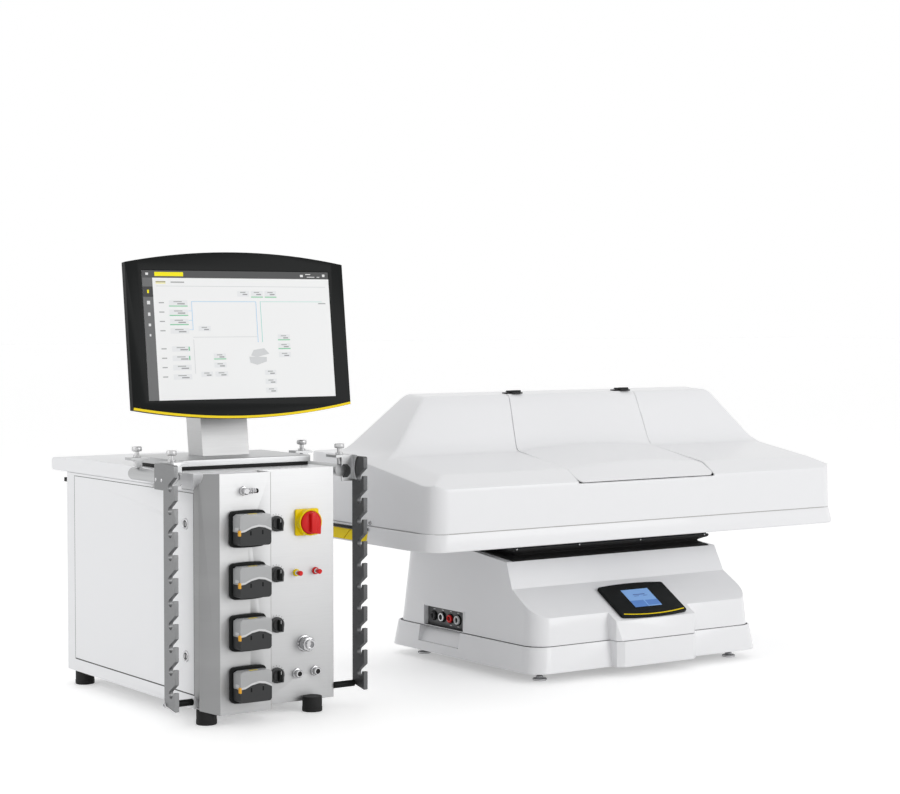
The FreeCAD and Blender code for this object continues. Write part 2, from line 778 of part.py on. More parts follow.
def rail_reach():
    """Distance from the middle of the tower to a rail's centre."""
    return rack_reach() - d.rail_inset


def rack_rails():
    """Round rails beside the top of the cabinet, each on two stand-offs."""
    def one(side):
        x = across(side, rail_reach())
        bar = rod("Y", d.rail_radius, d.rail_front, d.rail_back, (x, d.rail_z))
        x0, x1 = span(side, d.cabinet_right - d.stand_middle + d.fit_gap, rail_reach())
        posts = [rod("X", d.rod_radius, x0, x1, (y, d.rail_z))
                 for y in (d.screw_front + 27, d.screw_back - 21)]
        seats = [rod("Z", d.screw_shaft + d.running_gap, d.rail_z + d.rail_radius - d.screw_bite,
                     d.rail_z + d.rail_radius + 1, (x, y)) for y in (d.screw_front, d.screw_back)]
        return cut(fuse(bar, *posts), *seats)
    return group(*both_sides(one))


def rack_brackets():
    """Clamps that carry the racks: a strap under each thumbscrew, with a web below it.

    The front web has an eight-sided hole round the rail's end and a tab against the rack."""
    def one(side):
        outer = rack_reach() - d.fit_gap
        rail = rail_reach()
        top = d.rack_top + 2.6
        under = top - d.strap_thick
        low = d.rack_top - d.head_tall
        past = 1
        x0, x1 = span(side, rail - d.strap_half, outer)
        web_front = d.web_front
        web_back = web_front + d.web_sheet
        straps = [box(x0, x1, web_front, d.screw_front + 14, under, top),
                  box(x0, x1, d.screw_back - 12, d.screw_back + 14, under, top)]
        w0, w1 = span(side, rail - 8.5, outer)
        web = box(w0, w1, web_front, web_back, low, top)
        t0, t1 = span(side, outer - d.web_sheet, outer)
        tab = box(t0, t1, d.tab_front, web_back, low + 3, top)
        bow = 9
        bow_radius = (d.head_tall * d.head_tall / 4 + bow * bow) / (bow * 2)
        scoop = rod("X", bow_radius, t0 - past, t1 + past,
                    (d.tab_front + bow - bow_radius, low + d.head_tall / 2))
        r0, r1 = span(side, rail - 5, rail + 8)
        over_rail = d.rail_z + d.rail_radius + d.fit_gap
        rear_web = box(r0, r1, d.screw_back - 12, d.screw_back - 12 + d.web_sheet, over_rail, top)
        eye = eight_sided(across(side, rail), d.rail_z, d.rail_radius + 1, web_front - past,
                          web_back + past)
        holes = [rod("Z", d.screw_shaft + d.running_gap, under - past, top + past,
                     (across(side, rail), y)) for y in (d.screw_front, d.screw_back)]
        return cut(fuse(web, tab, rear_web, *straps), scoop, eye, *holes)
    return group(*both_sides(one))


def eight_sided(x, z, radius, y0, y1):
    """An eight-sided bar along Y, its flats at the given radius."""
    reach = radius / round(math.cos(math.pi / 8), 6)
    points = []
    for index in range(8):
        angle = math.pi / 8 + index * math.pi / 4
        points.append((x + reach * round(math.cos(angle), 6), z + reach * round(math.sin(angle), 6)))
    return prism("XZ", points, y0, y1)


def rack_rods():
    """Short round bars that hold the racks' lower ends."""
    def one(side):
        x0, x1 = span(side, d.cabinet_right - d.stand_middle, rack_reach())
        return rod("X", d.rod_radius, x0, x1, (d.rod_y, d.rod_z))
    return group(*both_sides(one))


def thumbscrews():
    """Four thumbscrews that clamp the brackets to the rails."""
    top = d.screw_top
    head_low = top - d.screw_head_tall
    neck_tall = 3
    foot = d.rail_z + d.rail_radius - d.screw_bite + d.fit_gap
    screws = []
    for side in (-1, 1):
        x = across(side, rail_reach())
        for y in (d.screw_front, d.screw_back):
            head = rod("Z", d.screw_head, head_low, top, (x, y))
            neck = taper("Z", d.screw_shaft, d.screw_shaft + 2, head_low - neck_tall, head_low, (x, y))
            shaft = rod("Z", d.screw_shaft, foot, head_low + 1, (x, y))
            screws.append(fuse(head, neck, shaft))
    return group(*screws)


# ---- control tower: display ------------------------------------------------------------------

def display_foot_plate():
    """Plate that carries the mast, on a smaller plinth over the cabinet's top."""
    x = d.stand_middle
    half = d.plate_half
    inset = 12
    shape = ((d.plate_front, d.plate_bottom), (d.plate_back, d.plate_bottom),
             (d.plate_back, d.plate_top), (d.plate_front, d.plate_top))
    plate = prism("YZ", shape, x - half, x + half, 0, 2, (3,))
    plinth = box(x - half + inset, x + half - inset, d.plate_front + inset, d.plate_back - inset,
                 d.cabinet_top, d.plate_bottom + 1)
    return fuse(plate, plinth)


def display_mast():
    """Leaning box mast, forked at the top for the tilt pin."""
    half = d.mast_wide / 2
    x = d.stand_middle
    low = d.plate_top
    top = d.mast_top
    lean = (top - low) * math.tan(math.radians(d.mast_lean.value))
    front = d.mast_front
    back = front + d.mast_deep
    wall = 5
    prong = 14
    fork_deep = 50
    past = 1
    shape = ((front, low), (back, low), (back + lean, top), (front + lean, top))
    mast = prism("YZ", shape, x - half, x + half)
    fork = box(x - half + prong, x + half - prong, front - fork_deep, back + fork_deep,
               top - fork_deep, top + past)
    hollow = box(x - half + wall, x + half - wall, front + prong, back - wall, low + wall,
                 top - fork_deep - wall * 2)
    bore = rod("X", d.pin_radius + d.running_gap, x - half - past, x + half + past,
               (d.tilt_y, d.tilt_z))
    return cut(mast, fork, hollow, bore)


def arched_slab(y0, y1):
    """The display's outline: straight sides, top and bottom edges bowed outward."""
    half = d.display_wide / 2
    bow = d.display_arch
    radius = (half * half + bow * bow) / (bow * 2)
    past = 1
    slab = box(-half, half, y0, y1, -bow, d.display_tall + bow)
    top_disc = rod("Y", radius, size(y0) - past, size(y1) + past, (0, d.display_tall + bow - radius))
    low_disc = rod("Y", radius, size(y0) - past, size(y1) + past, (0, radius - bow))
    return common(common(slab, top_disc), low_disc)


def lean_back(thing):
    """Stands a display piece on its mast, leaning back."""
    tilt = FreeCAD.Rotation(FreeCAD.Vector(1, 0, 0), -d.display_lean.value)
    return put(thing, d.stand_middle, d.plate_front, d.display_bottom, tilt)


def display_housing():
    """Bezel, rear casing and the arm that the tilt pin holds."""
    deep = d.bezel_deep
    gap = d.fit_gap
    knuckle_radius = 11
    arm_half = 28
    bezel = arched_slab(0, deep)
    pocket = box(-d.screen_half - gap, d.screen_half + gap, -1, d.glass_back,
                 d.screen_low - gap, d.screen_high + gap)
    casing = prism("YZ", ((deep - 1, 6), (deep + 26, 22), (deep + 30, 190), (deep - 1, 254)),
                   -d.screen_half, d.screen_half)
    lean = math.radians(d.display_lean.value)
    dy = d.tilt_y - d.plate_front
    dz = d.tilt_z - d.display_bottom
    pin_y = dy * math.cos(lean) - dz * math.sin(lean)
    pin_z = dy * math.sin(lean) + dz * math.cos(lean)
    arm = box(-arm_half, arm_half, deep + 20, pin_y, pin_z - knuckle_radius, pin_z + knuckle_radius)
    knuckle = rod("X", knuckle_radius, -arm_half, arm_half, (pin_y, pin_z))
    pin_half = d.mast_wide / 2 - 1
    pin = rod("X", d.pin_radius, -pin_half, pin_half, (pin_y, pin_z))
    return lean_back(cut(fuse(bezel, casing, arm, knuckle, pin), pocket))


def display_screen():
    """Glass of the touch screen, set in the bezel."""
    glass = box(-d.screen_half, d.screen_half, 0.4, d.glass_back, d.screen_low, d.screen_high)
    return lean_back(group(glass))


# ---- rocker: base ----------------------------------------------------------------------------

def rounded_block(half, y0, y1, z0, z1, draft, corner):
    """A block with leaning walls and rounded upright corners."""
    shape = ((-size(half), y0), (half, y0), (half, y1), (-size(half), y1))
    return prism("XY", shape, z0, z1, -size(draft), corner, (0, 1, 2, 3))


def bulge(z0, z1, shrink):
    """The middle of the front that swells forward under the console."""
    half = d.bulge_half - shrink
    out = d.bulge_out - shrink
    front = d.lower_front
    behind = front + 40
    cheek = 14
    shape = ((-half, behind), (-half, front - out * 0.6), (-half + cheek, front - out),
             (half - cheek, front - out), (half, front - out * 0.6), (half, behind))
    return prism("XY", shape, z0, z1)


def scoop_prism(side, low, high, shallow, deep, y0, y1):
    """A slanting pocket in an end wall, deeper at the top; shallow and deep are from the wall's foot."""
    wall = d.lower_half * side
    inward = -side
    outside = wall - inward * 2
    shape = ((outside, low), (wall + inward * shallow, low), (wall + inward * deep, high), (outside, high))
    return prism("XZ", shape, y0, y1)


def base_lower_shell():
    """Bottom tub of the base, open above, with a slanting hand scoop in each side."""
    wall = d.shell_wall
    low = d.shell_bottom
    corner = d.base_round
    draft = 8
    tub = rounded_block(d.lower_half, d.lower_front, d.lower_back, low, d.seam, draft, corner)
    hollow = rounded_block(d.lower_half - wall, d.lower_front + wall, d.lower_back - wall,
                           low + wall, d.seam + 1, draft, corner - wall)
    nose = bulge(low, d.seam, 0)
    nose_hollow = bulge(low + wall, d.seam + 1, wall)
    scoops = []
    linings = []
    for side in (-1, 1):
        scoops.append(scoop_prism(side, d.scoop_low, d.seam + 1, 9, 25, d.scoop_front, d.scoop_back))
        lining = scoop_prism(side, d.scoop_low - wall, d.seam - 1, 9 + wall, 25 + wall,
                             d.scoop_front - wall, d.scoop_back + wall)
        linings.append(common(lining, rounded_block(
            d.lower_half, d.lower_front, d.lower_back, low, d.seam, draft, corner)))
    return cut(fuse(cut(fuse(tub, nose), fuse(hollow, nose_hollow)), *linings), *scoops)


def base_profile(inset):
    """Side view of the upper shell: apron, console slope, block and gabled top."""
    low = d.seam + 0.8
    gap = size(inset)
    return ((d.seam_front + gap, low - gap * 0.5), (d.apron_y + gap, d.apron_z - gap * 0.6),
            (d.slope_y + gap, d.slope_z - gap * 0.6), (d.lip_y + gap * 0.8, d.lip_z - gap),
            (0, d.gable_z - gap), (-d.lip_y - gap * 0.8, d.lip_z - gap),
            (d.seam_back - 12 - gap, d.lip_z - 10 - gap), (d.seam_back - gap, low - gap * 0.5))


def base_form(inset):
    """The upper shell as a solid: the side view held between leaning end walls."""
    gap = size(inset)
    below = 10
    flare = below * math.tan(math.radians(d.side_draft.value))
    ends = rounded_block(d.seam_half - gap + flare, d.seam_front + gap - flare,
                         d.seam_back - gap + flare, d.seam - below, d.gable_z + 5, d.side_draft,
                         d.base_round)
    return common(prism("YZ", base_profile(inset), -d.seam_half - 5, d.seam_half + 5), ends)


def console_nose(inset):
    """The bulge under the console, cut off along the console's slope."""
    gap = size(inset)
    low = d.seam + 0.8 - gap * 0.5
    rise = (d.slope_z - d.apron_z) / (d.slope_y - d.apron_y)
    out = 26
    front = d.apron_y - out
    sunk = gap * 0.6 + gap * rise
    side = ((front - 8 + gap, low), (front + gap, d.apron_z - out * rise - gap * 0.6),
            (d.slope_y, d.slope_z - sunk), (d.slope_y, low))
    half = d.bulge_half - gap
    cheek = 14
    behind = d.lower_front + 90
    cheek_y = d.lower_front - d.bulge_out * 0.5 + gap
    front_y = d.lower_front - d.bulge_out + gap
    top = ((-half, behind), (-half, cheek_y), (-half + cheek, front_y), (half - cheek, front_y),
           (half, cheek_y), (half, behind))
    return common(prism("YZ", side, -half - 1, half + 1), prism("XY", top, low, d.slope_z + 1))


def base_upper_shell():
    """Upper casing of the base, open below and under the rocking platform."""
    body = fuse(base_form(0), console_nose(0))
    hollow = fuse(base_form(d.shell_wall), console_nose(d.shell_wall))
    mouth = box(-d.mouth_half, d.mouth_half, -d.mouth_deep, d.mouth_deep, d.lip_z - 20, d.gable_z + 5)
    bay = box(-d.seam_half - 5, d.bay_floor - d.seam_half, d.bay_front, d.bay_back, d.bay_low,
              d.bay_high)
    return cut(body, hollow, mouth, bay)


def socket_panel():
    """Recessed side panel with four round sockets."""
    thick = 3
    gap = 0.5
    x = d.bay_floor - d.seam_half
    plate = box(x - thick, x, d.bay_front + gap, d.bay_back - gap, d.bay_low + gap, d.bay_high - gap)
    height = (d.bay_low + d.bay_high) / 2
    sockets = [rod("X", radius, x - thick - reach, x - 1, (y, height)) for y, reach, radius in
               ((40, 8, 9), (66, 11, 7), (95, 7, 9), (125, 5, 8))]
    return fuse(plate, *sockets)


def slope_angle():
    """Angle of the console's slope."""
    return math.degrees(math.atan2(d.slope_z.value - d.apron_z.value, d.slope_y.value - d.apron_y.value))


def console_display():
    """Small display unit that lies on the console's slope, its lower edge pointed."""
    half = d.console_half
    shape = ((-half, -24), (0, -33), (half, -24), (half, 70), (0, 78), (-half, 70))
    plate = prism("XY", shape, d.fit_gap, d.console_raise, 0, 6, (0, 2, 3, 5))
    lean = FreeCAD.Rotation(FreeCAD.Vector(1, 0, 0), slope_angle())
    return put(plate, 0, d.apron_y, d.apron_z, lean)


def levelling_feet():
    """Four screw feet with chrome discs."""
    disc_tall = 5
    collar_tall = 4
    stem = 5
    feet = []
    for x in (-247, 247):
        for y in (-196, 203):
            disc = rod("Z", d.rocker_foot, 0, disc_tall, (x, y))
            collar = taper("Z", d.rocker_foot - 3, stem + 2, disc_tall, disc_tall + collar_tall, (x, y))
            screw = rod("Z", stem, disc_tall + collar_tall - 1, d.shell_bottom, (x, y))
            feet.append(fuse(disc, collar, screw))
    return group(*feet)


# ---- rocker: drive and rocking parts ---------------------------------------------------------

def bearing_stands():
    """Two stands on the floor of the base that hold the shaft."""
    thick = 20
    foot_half = 80
    foot = d.shell_bottom + d.shell_wall
    web = ((-foot_half, foot), (foot_half, foot), (d.arm_half, d.drive_top), (-d.arm_half, d.drive_top))
    stands = []
    for x in (-196, 196 - thick):
        stand = prism("YZ", web, x, size(x) + thick)
        bore = rod("X", d.shaft_radius + d.running_gap, size(x) - 1, size(x) + thick + 1,
                   (0, d.pivot_z))
        stands.append(cut(stand, bore))
    return group(*stands)


def pivot_shaft():
    """Shaft that the platform hangs on, with a clamped arm near each end."""
    arm_wide = 24
    shaft_half = 215
    bar = rod("X", d.shaft_radius, -shaft_half, shaft_half, (0, d.pivot_z))
    arms = [box(x, size(x) + arm_wide, -d.arm_half, d.arm_half, d.pivot_z - d.shaft_radius, d.gaiter_top)
            for x in (-165, 165 - arm_wide)]
    return fuse(bar, *arms)


def drive_gearmotor():
    """Hollow-shaft gear motor that turns the shaft, on its own bracket."""
    foot = d.shell_bottom + d.shell_wall
    case_half = 60
    bracket_tall = 22
    motor_radius = 34
    case = box(-case_half, case_half, -d.arm_half, d.arm_half, d.pivot_z - case_half, d.drive_top)
    motor = rod("Z", motor_radius, foot + bracket_tall - 2, d.pivot_z - case_half + 2, (0, 0))
    bracket = box(-70, 70, -50, 50, foot, foot + bracket_tall)
    bore = rod("X", d.shaft_radius + d.running_gap, -case_half - 1, case_half + 1, (0, d.pivot_z))
    return cut(fuse(case, motor, bracket), bore)


def ring_level(half, deep, z):
    """A rectangle as a closed wire at one height."""
    spots = ((-half, -deep), (half, -deep), (half, deep), (-half, deep))
    corners = [FreeCAD.Vector(x, y, z) for x, y in spots]
    return Part.makePolygon(corners + corners[:1])


def fold_loft(half, deep, fold, levels):
    """A solid that narrows by a fold at the middle of its three heights."""
    low, middle, high = levels
    return Part.makeLoft([ring_level(half, deep, low), ring_level(half - fold, deep - fold, middle),
                          ring_level(half, deep, high)], True, True)


def rocker_gaiter():
    """Black rubber gaiter with one inward fold, closing the gap round the mechanism."""
    half = d.gaiter_half.value
    deep = d.gaiter_deep.value
    fold = d.fold_in.value
    wall = d.sheet_steel.value * 2
    gap = d.fit_gap.value
    lip_y = d.lip_y.value
    lip_z = d.lip_z.value
    low = lip_z + gap
    high = d.gaiter_top.value - gap
    middle = (low + high) / 2
    outer = fold_loft(half, deep, fold, (low, middle, high))
    inner = fold_loft(half - wall, deep - wall, fold, (low - 1, middle, high + 1))
    roof_line = ((lip_y * 2, 0), (lip_y * 2, lip_z), (lip_y, lip_z + gap), (0, d.gable_z.value + gap),
                 (-lip_y, lip_z + gap), (-lip_y * 2, lip_z), (-lip_y * 2, 0), (lip_y * 2, 0))
    margin = 10
    gable = Part.makePolygon([FreeCAD.Vector(-half - margin, y, z) for y, z in roof_line])
    roof = Part.Face(gable).extrude(FreeCAD.Vector((half + margin) * 2, 0, 0))
    gaiter = doc.addObject("Part::Feature", "Gaiter")
    gaiter.Shape = outer.cut(inner).cut(roof)
    return gaiter


def rocking_platform():
    """Black platform: a flange over the gaiter and a raised bed that the tray sits on."""
    half = d.gaiter_half
    deep = d.gaiter_deep
    top = d.tray_bottom - 0.2
    flange_thick = 3
    foot = deep - 3
    head = deep - 8
    flange = box(-half, half, -deep, deep, d.gaiter_top, d.gaiter_top + flange_thick)
    bed = prism("YZ", ((-foot, d.gaiter_top + 2), (foot, d.gaiter_top + 2), (head, top), (-head, top)),
                4 - half, half - 4)
    return fuse(flange, bed)


def tray():
    """Shallow white tray that holds the culture bag."""
    wall = d.tray_wall
    outer = rounded_block(d.tray_half, -d.tray_deep, d.tray_deep, d.tray_bottom, d.tray_rim,
                          d.tray_draft, d.tray_corner)
    inner = rounded_block(d.tray_half - wall, wall - d.tray_deep, d.tray_deep - wall,
                          d.tray_bottom + wall, d.tray_rim + 1, d.tray_draft, d.tray_corner - wall)
    return cut(outer, inner, gate_prism(d.fit_gap))


def gate_prism(grow):
    """The gate's place in the tray's left end wall, grown by a gap all round but the front."""
    lean = math.tan(math.radians(d.tray_draft.value))
    proud = 0.6
    low = d.gate_bottom - grow
    high = d.gate_top + grow
    foot = -d.tray_half + (low - d.tray_bottom) * lean - proud
    head = -d.tray_half + (high - d.tray_bottom) * lean - proud
    deep = d.gate_deep + grow
    side = ((foot, low), (foot + deep, low), (head + deep, high), (head, high))
    return prism("XZ", side, d.gate_front - grow, d.gate_back + grow)


def tube_gate():
    """Yellow gate in the tray's left end, split on the slant where the bag's tubes leave."""
    saw = 2.4
    top_y = 40
    low_y = 64
    split = prism("YZ", ((top_y, d.gate_top + 1), (top_y + saw, d.gate_top + 1),
                         (low_y + saw, d.gate_bottom - 1), (low_y, d.gate_bottom - 1)),
                  -d.tray_half - 2, -d.tray_half + 12)
    return cut(gate_prism(0), split)


# ---- rocker: hood ----------------------------------------------------------------------------

def hood_deck(grow, low):
    """The hood's lower part: upright walls, a bevel all round and a gently rising deck."""
    out = size(grow)
    deep = d.hood_deep + out
    half = d.hood_half + out
    lean = 3
    past = 5
    wall_top = d.wall_top + out * 0.3
    deck_z = d.deck_front_z + out
    side = ((-deep, low), (-deep + lean, wall_top), (d.deck_front_y - out * 0.3, deck_z),
            (d.crease_y, d.crease_z + out), (deep - lean, d.crease_z + out), (deep, low))
    walls = rounded_block(half, -deep, deep, low, d.crease_z + 40, 2, 40)
    climb = (d.crease_z - d.deck_front_z) / (d.crease_y - d.deck_front_y)
    rise = climb * (deep * 2)
    foot = low - rise - past
    end_slope = d.end_bevel_drop / d.end_bevel_wide
    shoulder_wide = d.end_bevel_wide * 2
    outer = half + past
    inner = half - shoulder_wide
    outer_top = wall_top - end_slope * past
    inner_top = wall_top + end_slope * shoulder_wide
    front = ((-outer, foot), (-outer, outer_top), (-inner, inner_top), (inner, inner_top),
             (outer, outer_top), (outer, foot))
    ends = Part.Face(Part.makePolygon([FreeCAD.Vector(size(x).value, -deep.value - 1, size(z).value)
                                       for x, z in front + front[:1]]))
    bevels = doc.addObject("Part::Feature", "EndBevels")
    bevels.Shape = ends.extrude(FreeCAD.Vector(0, deep.value * 2 + 2, rise.value))
    return common(common(prism("YZ", side, -half - past, half + past), walls), bevels)


def hood_peak(grow, low):
    """The hood's raised back: a steep front face, a ridge and sloping ends."""
    out = size(grow)
    deep = d.hood_deep + out
    front_y = d.crease_y - out * 0.8
    rear_y = d.rear_crease_y + out * 0.7
    shoulder = d.crease_z + out * 0.4
    ridge_back = (d.ridge_back_y + out * 0.5, d.ridge_back_z + out)
    side = ((front_y, low), (front_y, shoulder),
            (d.ridge_front_y - out * 0.7, d.ridge_front_z + out), ridge_back,
            (rear_y, shoulder), (rear_y, low))
    foot = d.peak_foot_half + out + 12
    foot_z = d.crease_z - 13
    top = d.peak_half + out * 0.6
    front = ((-foot, low), (-foot, foot_z), (-top, ridge_back[1]), (top, ridge_back[1]),
             (foot, foot_z), (foot, low))
    return common(prism("YZ", side, -foot - 8, foot + 8), prism("XZ", front, -deep, deep))


def hood_form(grow, low):
    """The whole hood as a solid, grown or shrunk by a wall."""
    return fuse(hood_deck(grow, low), hood_peak(grow, low))


def lid_plan(grow):
    """Top view of the lid, as an upright block from the top of the hood's front wall."""
    half = d.lid_half + grow
    narrow = d.lid_ridge_half + grow
    back = d.lid_back + grow
    front = -d.hood_deep - 8
    shape = ((-half, front), (half, front), (half, d.crease_y), (narrow, d.ridge_front_y),
             (narrow, back), (-narrow, back), (-narrow, d.ridge_front_y), (-half, d.crease_y))
    return prism("XY", shape, d.wall_top - 1 - grow, d.ridge_back_z + 40)


def hood():
    """Fixed cover over the tray, cut out for the lid."""
    low = d.tray_rim + d.fit_gap
    inner = hood_form(-d.hood_wall, low - 1)
    return cut(hood_form(0, low), fuse(inner, lid_plan(d.lid_gap)))


def hood_lid():
    """Folding middle of the hood, hinged on the ridge, slightly raised above it."""
    low = d.tray_rim + d.fit_gap
    skin = cut(hood_form(d.lid_raise, low), hood_form(-d.hood_wall, low - 1))
    return common(skin, lid_plan(0))


def lid_hinges():
    """Two black hinges seated on the ridge, each with its barrel over the lid's rear edge."""
    front = d.hinge_y + 0.5
    back = front + d.hinge_long
    top = d.hinge_z + 0.6
    fall = (d.ridge_back_z - d.ridge_front_z) / (d.ridge_back_y - d.ridge_front_y)
    side = ((front, d.ridge_back_z - (d.ridge_back_y - front) * fall),
            (back, d.ridge_back_z - (d.ridge_back_y - back) * fall), (back, top), (front, top))
    hinges = []
    for x in (-d.hinge_x, d.hinge_x):
        start = x - d.hinge_half
        end = x + d.hinge_half
        block = prism("YZ", side, start, end)
        hinges.append(fuse(block, rod("X", d.barrel_radius, start, end, (d.hinge_y, d.hinge_z))))
    return group(*hinges)


def build():
    """Every sub-part, in its unit."""
    left, right = cabinet_sides()
    left_y, right_y = lock_places()[:2]
    control_back = d.panel_step + d.sheet_steel
    name_part("tower_frame", "tower", tower_frame())
    name_part("left_side_cover", "tower",
              side_cover(left, left + d.cover_sheet, d.cabinet_front + d.cover_gap, left_y))
    name_part("right_side_cover", "tower",
              side_cover(right - d.cover_sheet, right, control_back + d.cover_gap, right_y))
    name_part("side_cover_locks", "tower", side_cover_locks())
    name_part("rear_panel", "tower", rear_panel())
    name_part("tower_top_cover", "tower", tower_top_cover())
    name_part("cable_hooks", "tower", cable_hooks())
    name_part("pump_panel", "tower", pump_panel())
    name_part("control_panel", "tower", control_panel())
    name_part("tower_feet", "tower", tower_feet())
    name_part("power_supply", "tower", power_supply())
    name_part("controller_unit", "tower", controller_unit())
    name_part("pump_motors", "tower", pump_motors())
    for letter, pump_z, knob_z in zip("abcd", pump_heights(), knob_heights()):
        name_part("pump_head_" + letter, "tower", pump_head(pump_z))
        name_part("pump_rotor_" + letter, "tower", pump_rotor(pump_z))
        name_part("pump_cover_" + letter, "tower", pump_cover(pump_z))
        name_part("selector_knob_" + letter, "tower", selector_knob(knob_z))
    name_part("main_switch_plate", "tower", main_switch_plate())
    name_part("main_switch_handle", "tower", main_switch_handle())
    name_part("gas_overlay_fitting", "tower", gas_overlay_fitting())
    name_part("sensor_sockets", "tower", sensor_sockets())
    name_part("level_connector", "tower", level_connector())
    name_part("lower_sockets", "tower", lower_sockets())
    name_part("rack_left", "tower", rack(d.rack_left_x))
    name_part("rack_right", "tower", rack(mirror_x(d.rack_left_x, d.stand_middle) - d.rack_sheet))
    name_part("rack_rails", "tower", rack_rails())
    name_part("rack_brackets", "tower", rack_brackets())
    name_part("rack_rods", "tower", rack_rods())
    name_part("thumbscrews", "tower", thumbscrews())
    name_part("display_foot_plate", "tower", display_foot_plate())
    name_part("display_mast", "tower", display_mast())
    name_part("display_housing", "tower", display_housing())
    name_part("display_screen", "tower", display_screen())
    name_part("base_lower_shell", "rocker", base_lower_shell())
    name_part("base_upper_shell", "rocker", base_upper_shell())
    name_part("socket_panel", "rocker", socket_panel())
    name_part("console_display", "rocker", console_display())
    name_part("levelling_feet", "rocker", levelling_feet())
    name_part("bearing_stands", "rocker", bearing_stands())
    name_part("pivot_shaft", "rocker", pivot_shaft())
    name_part("drive_gearmotor", "rocker", drive_gearmotor())
    name_part("rocker_gaiter", "rocker", rocker_gaiter())
    name_part("rocking_platform", "rocker", rocking_platform())
    name_part("tray", "rocker", tray())
    name_part("hood", "rocker", hood())
    name_part("hood_lid", "rocker", hood_lid())
    name_part("lid_hinges", "rocker", lid_hinges())
    name_part("tube_gate", "rocker", tube_gate())


def check_and_write():
    """Stops on any failed object, then writes one STEP file for each sub-part."""
    doc.recompute()
    for item in doc.Objects:
        if "Invalid" in item.State or "Error" in item.State:
            raise RuntimeError("%s (%s) failed: %s" % (item.Name, item.Label, item.State))
    os.makedirs("parts", exist_ok=True)
    for part in sub_parts:
        if part.Shape.isNull() or not part.Shape.isValid():
            raise RuntimeError("%s has no valid shape" % part.Label)
        part.Shape.exportStep(os.path.join("parts", part.Label + ".step"))
        limits = part.Shape.BoundBox
        print("%-20s solids %d volume %.0f x %.1f..%.1f y %.1f..%.1f z %.1f..%.1f" % (
            part.Label, len(part.Shape.Solids), part.Shape.Volume, limits.XMin, limits.XMax,
            limits.YMin, limits.YMax, limits.ZMin, limits.ZMax))
    print(len(sub_parts), "sub-parts")


build()
check_and_write()
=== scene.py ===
import json
import math

import bmesh
import bpy
from mathutils import Matrix, Vector

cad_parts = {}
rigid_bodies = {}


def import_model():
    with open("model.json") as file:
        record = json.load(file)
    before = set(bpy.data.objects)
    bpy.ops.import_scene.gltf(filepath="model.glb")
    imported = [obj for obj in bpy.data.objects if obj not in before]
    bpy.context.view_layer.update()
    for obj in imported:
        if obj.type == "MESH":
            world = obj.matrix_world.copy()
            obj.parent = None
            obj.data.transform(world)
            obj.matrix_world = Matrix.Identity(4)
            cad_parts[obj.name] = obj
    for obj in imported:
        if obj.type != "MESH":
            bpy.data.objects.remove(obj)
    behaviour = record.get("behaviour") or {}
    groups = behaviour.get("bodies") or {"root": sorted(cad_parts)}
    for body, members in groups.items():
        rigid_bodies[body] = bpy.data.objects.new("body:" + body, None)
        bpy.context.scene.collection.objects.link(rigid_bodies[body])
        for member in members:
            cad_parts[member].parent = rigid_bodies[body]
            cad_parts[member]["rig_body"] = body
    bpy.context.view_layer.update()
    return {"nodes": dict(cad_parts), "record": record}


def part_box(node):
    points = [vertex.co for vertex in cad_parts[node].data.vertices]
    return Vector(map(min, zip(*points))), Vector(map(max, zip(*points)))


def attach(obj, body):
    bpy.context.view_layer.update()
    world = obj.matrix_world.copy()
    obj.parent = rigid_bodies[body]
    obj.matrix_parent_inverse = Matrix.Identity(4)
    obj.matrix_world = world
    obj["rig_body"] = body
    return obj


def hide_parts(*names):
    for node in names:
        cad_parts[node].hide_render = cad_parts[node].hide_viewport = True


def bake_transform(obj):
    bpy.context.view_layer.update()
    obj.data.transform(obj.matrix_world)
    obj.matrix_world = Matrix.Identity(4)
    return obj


# A rocking-motion bench bioreactor: the control tower on the left and the rocker on the right.
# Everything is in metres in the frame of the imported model: +X to the right, +Y to the back, +Z up.
# New pieces are drawn in millimetres on their unit's own zero: the tower's is the left front foot
# of its pump panel, the rocker's is the floor below the middle of its tray.

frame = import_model()
nodes = frame["nodes"]

MILLIMETRE = 0.001
PANEL_WIDE = 0.1014
panel_low, panel_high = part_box("pump_panel")
tray_low, tray_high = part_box("tray")
TOWER = Vector((panel_high.x - PANEL_WIDE, panel_low.y, 0))
ROCKER = Vector(((tray_low.x + tray_high.x) / 2, (tray_low.y + tray_high.y) / 2, 0))
SIDES = ((-1, "left"), (1, "right"))
SLOT_OF = {part["node"]: part["material_slot"] for part in frame["record"]["subparts"]}


# ---- materials -------------------------------------------------------------------------------

class Wire:
    """A value in a material, so that its maths reads as plain expressions."""

    def __init__(self, finish, socket):
        self.finish = finish
        self.socket = socket

    def math(self, operation, *values):
        return self.finish.node("ShaderNodeMath", {"operation": operation}, dict(enumerate(values)))

    def __add__(self, other):
        return self.math("ADD", self, other)

    def __rsub__(self, other):
        return self.math("SUBTRACT", other, self)

    def __mul__(self, other):
        return self.math("MULTIPLY", self, other)

    def __lt__(self, other):
        return self.math("LESS_THAN", self, other)

    def clamp(self):
        return self.math("MINIMUM", self.math("MAXIMUM", self, 0.0), 1.0)


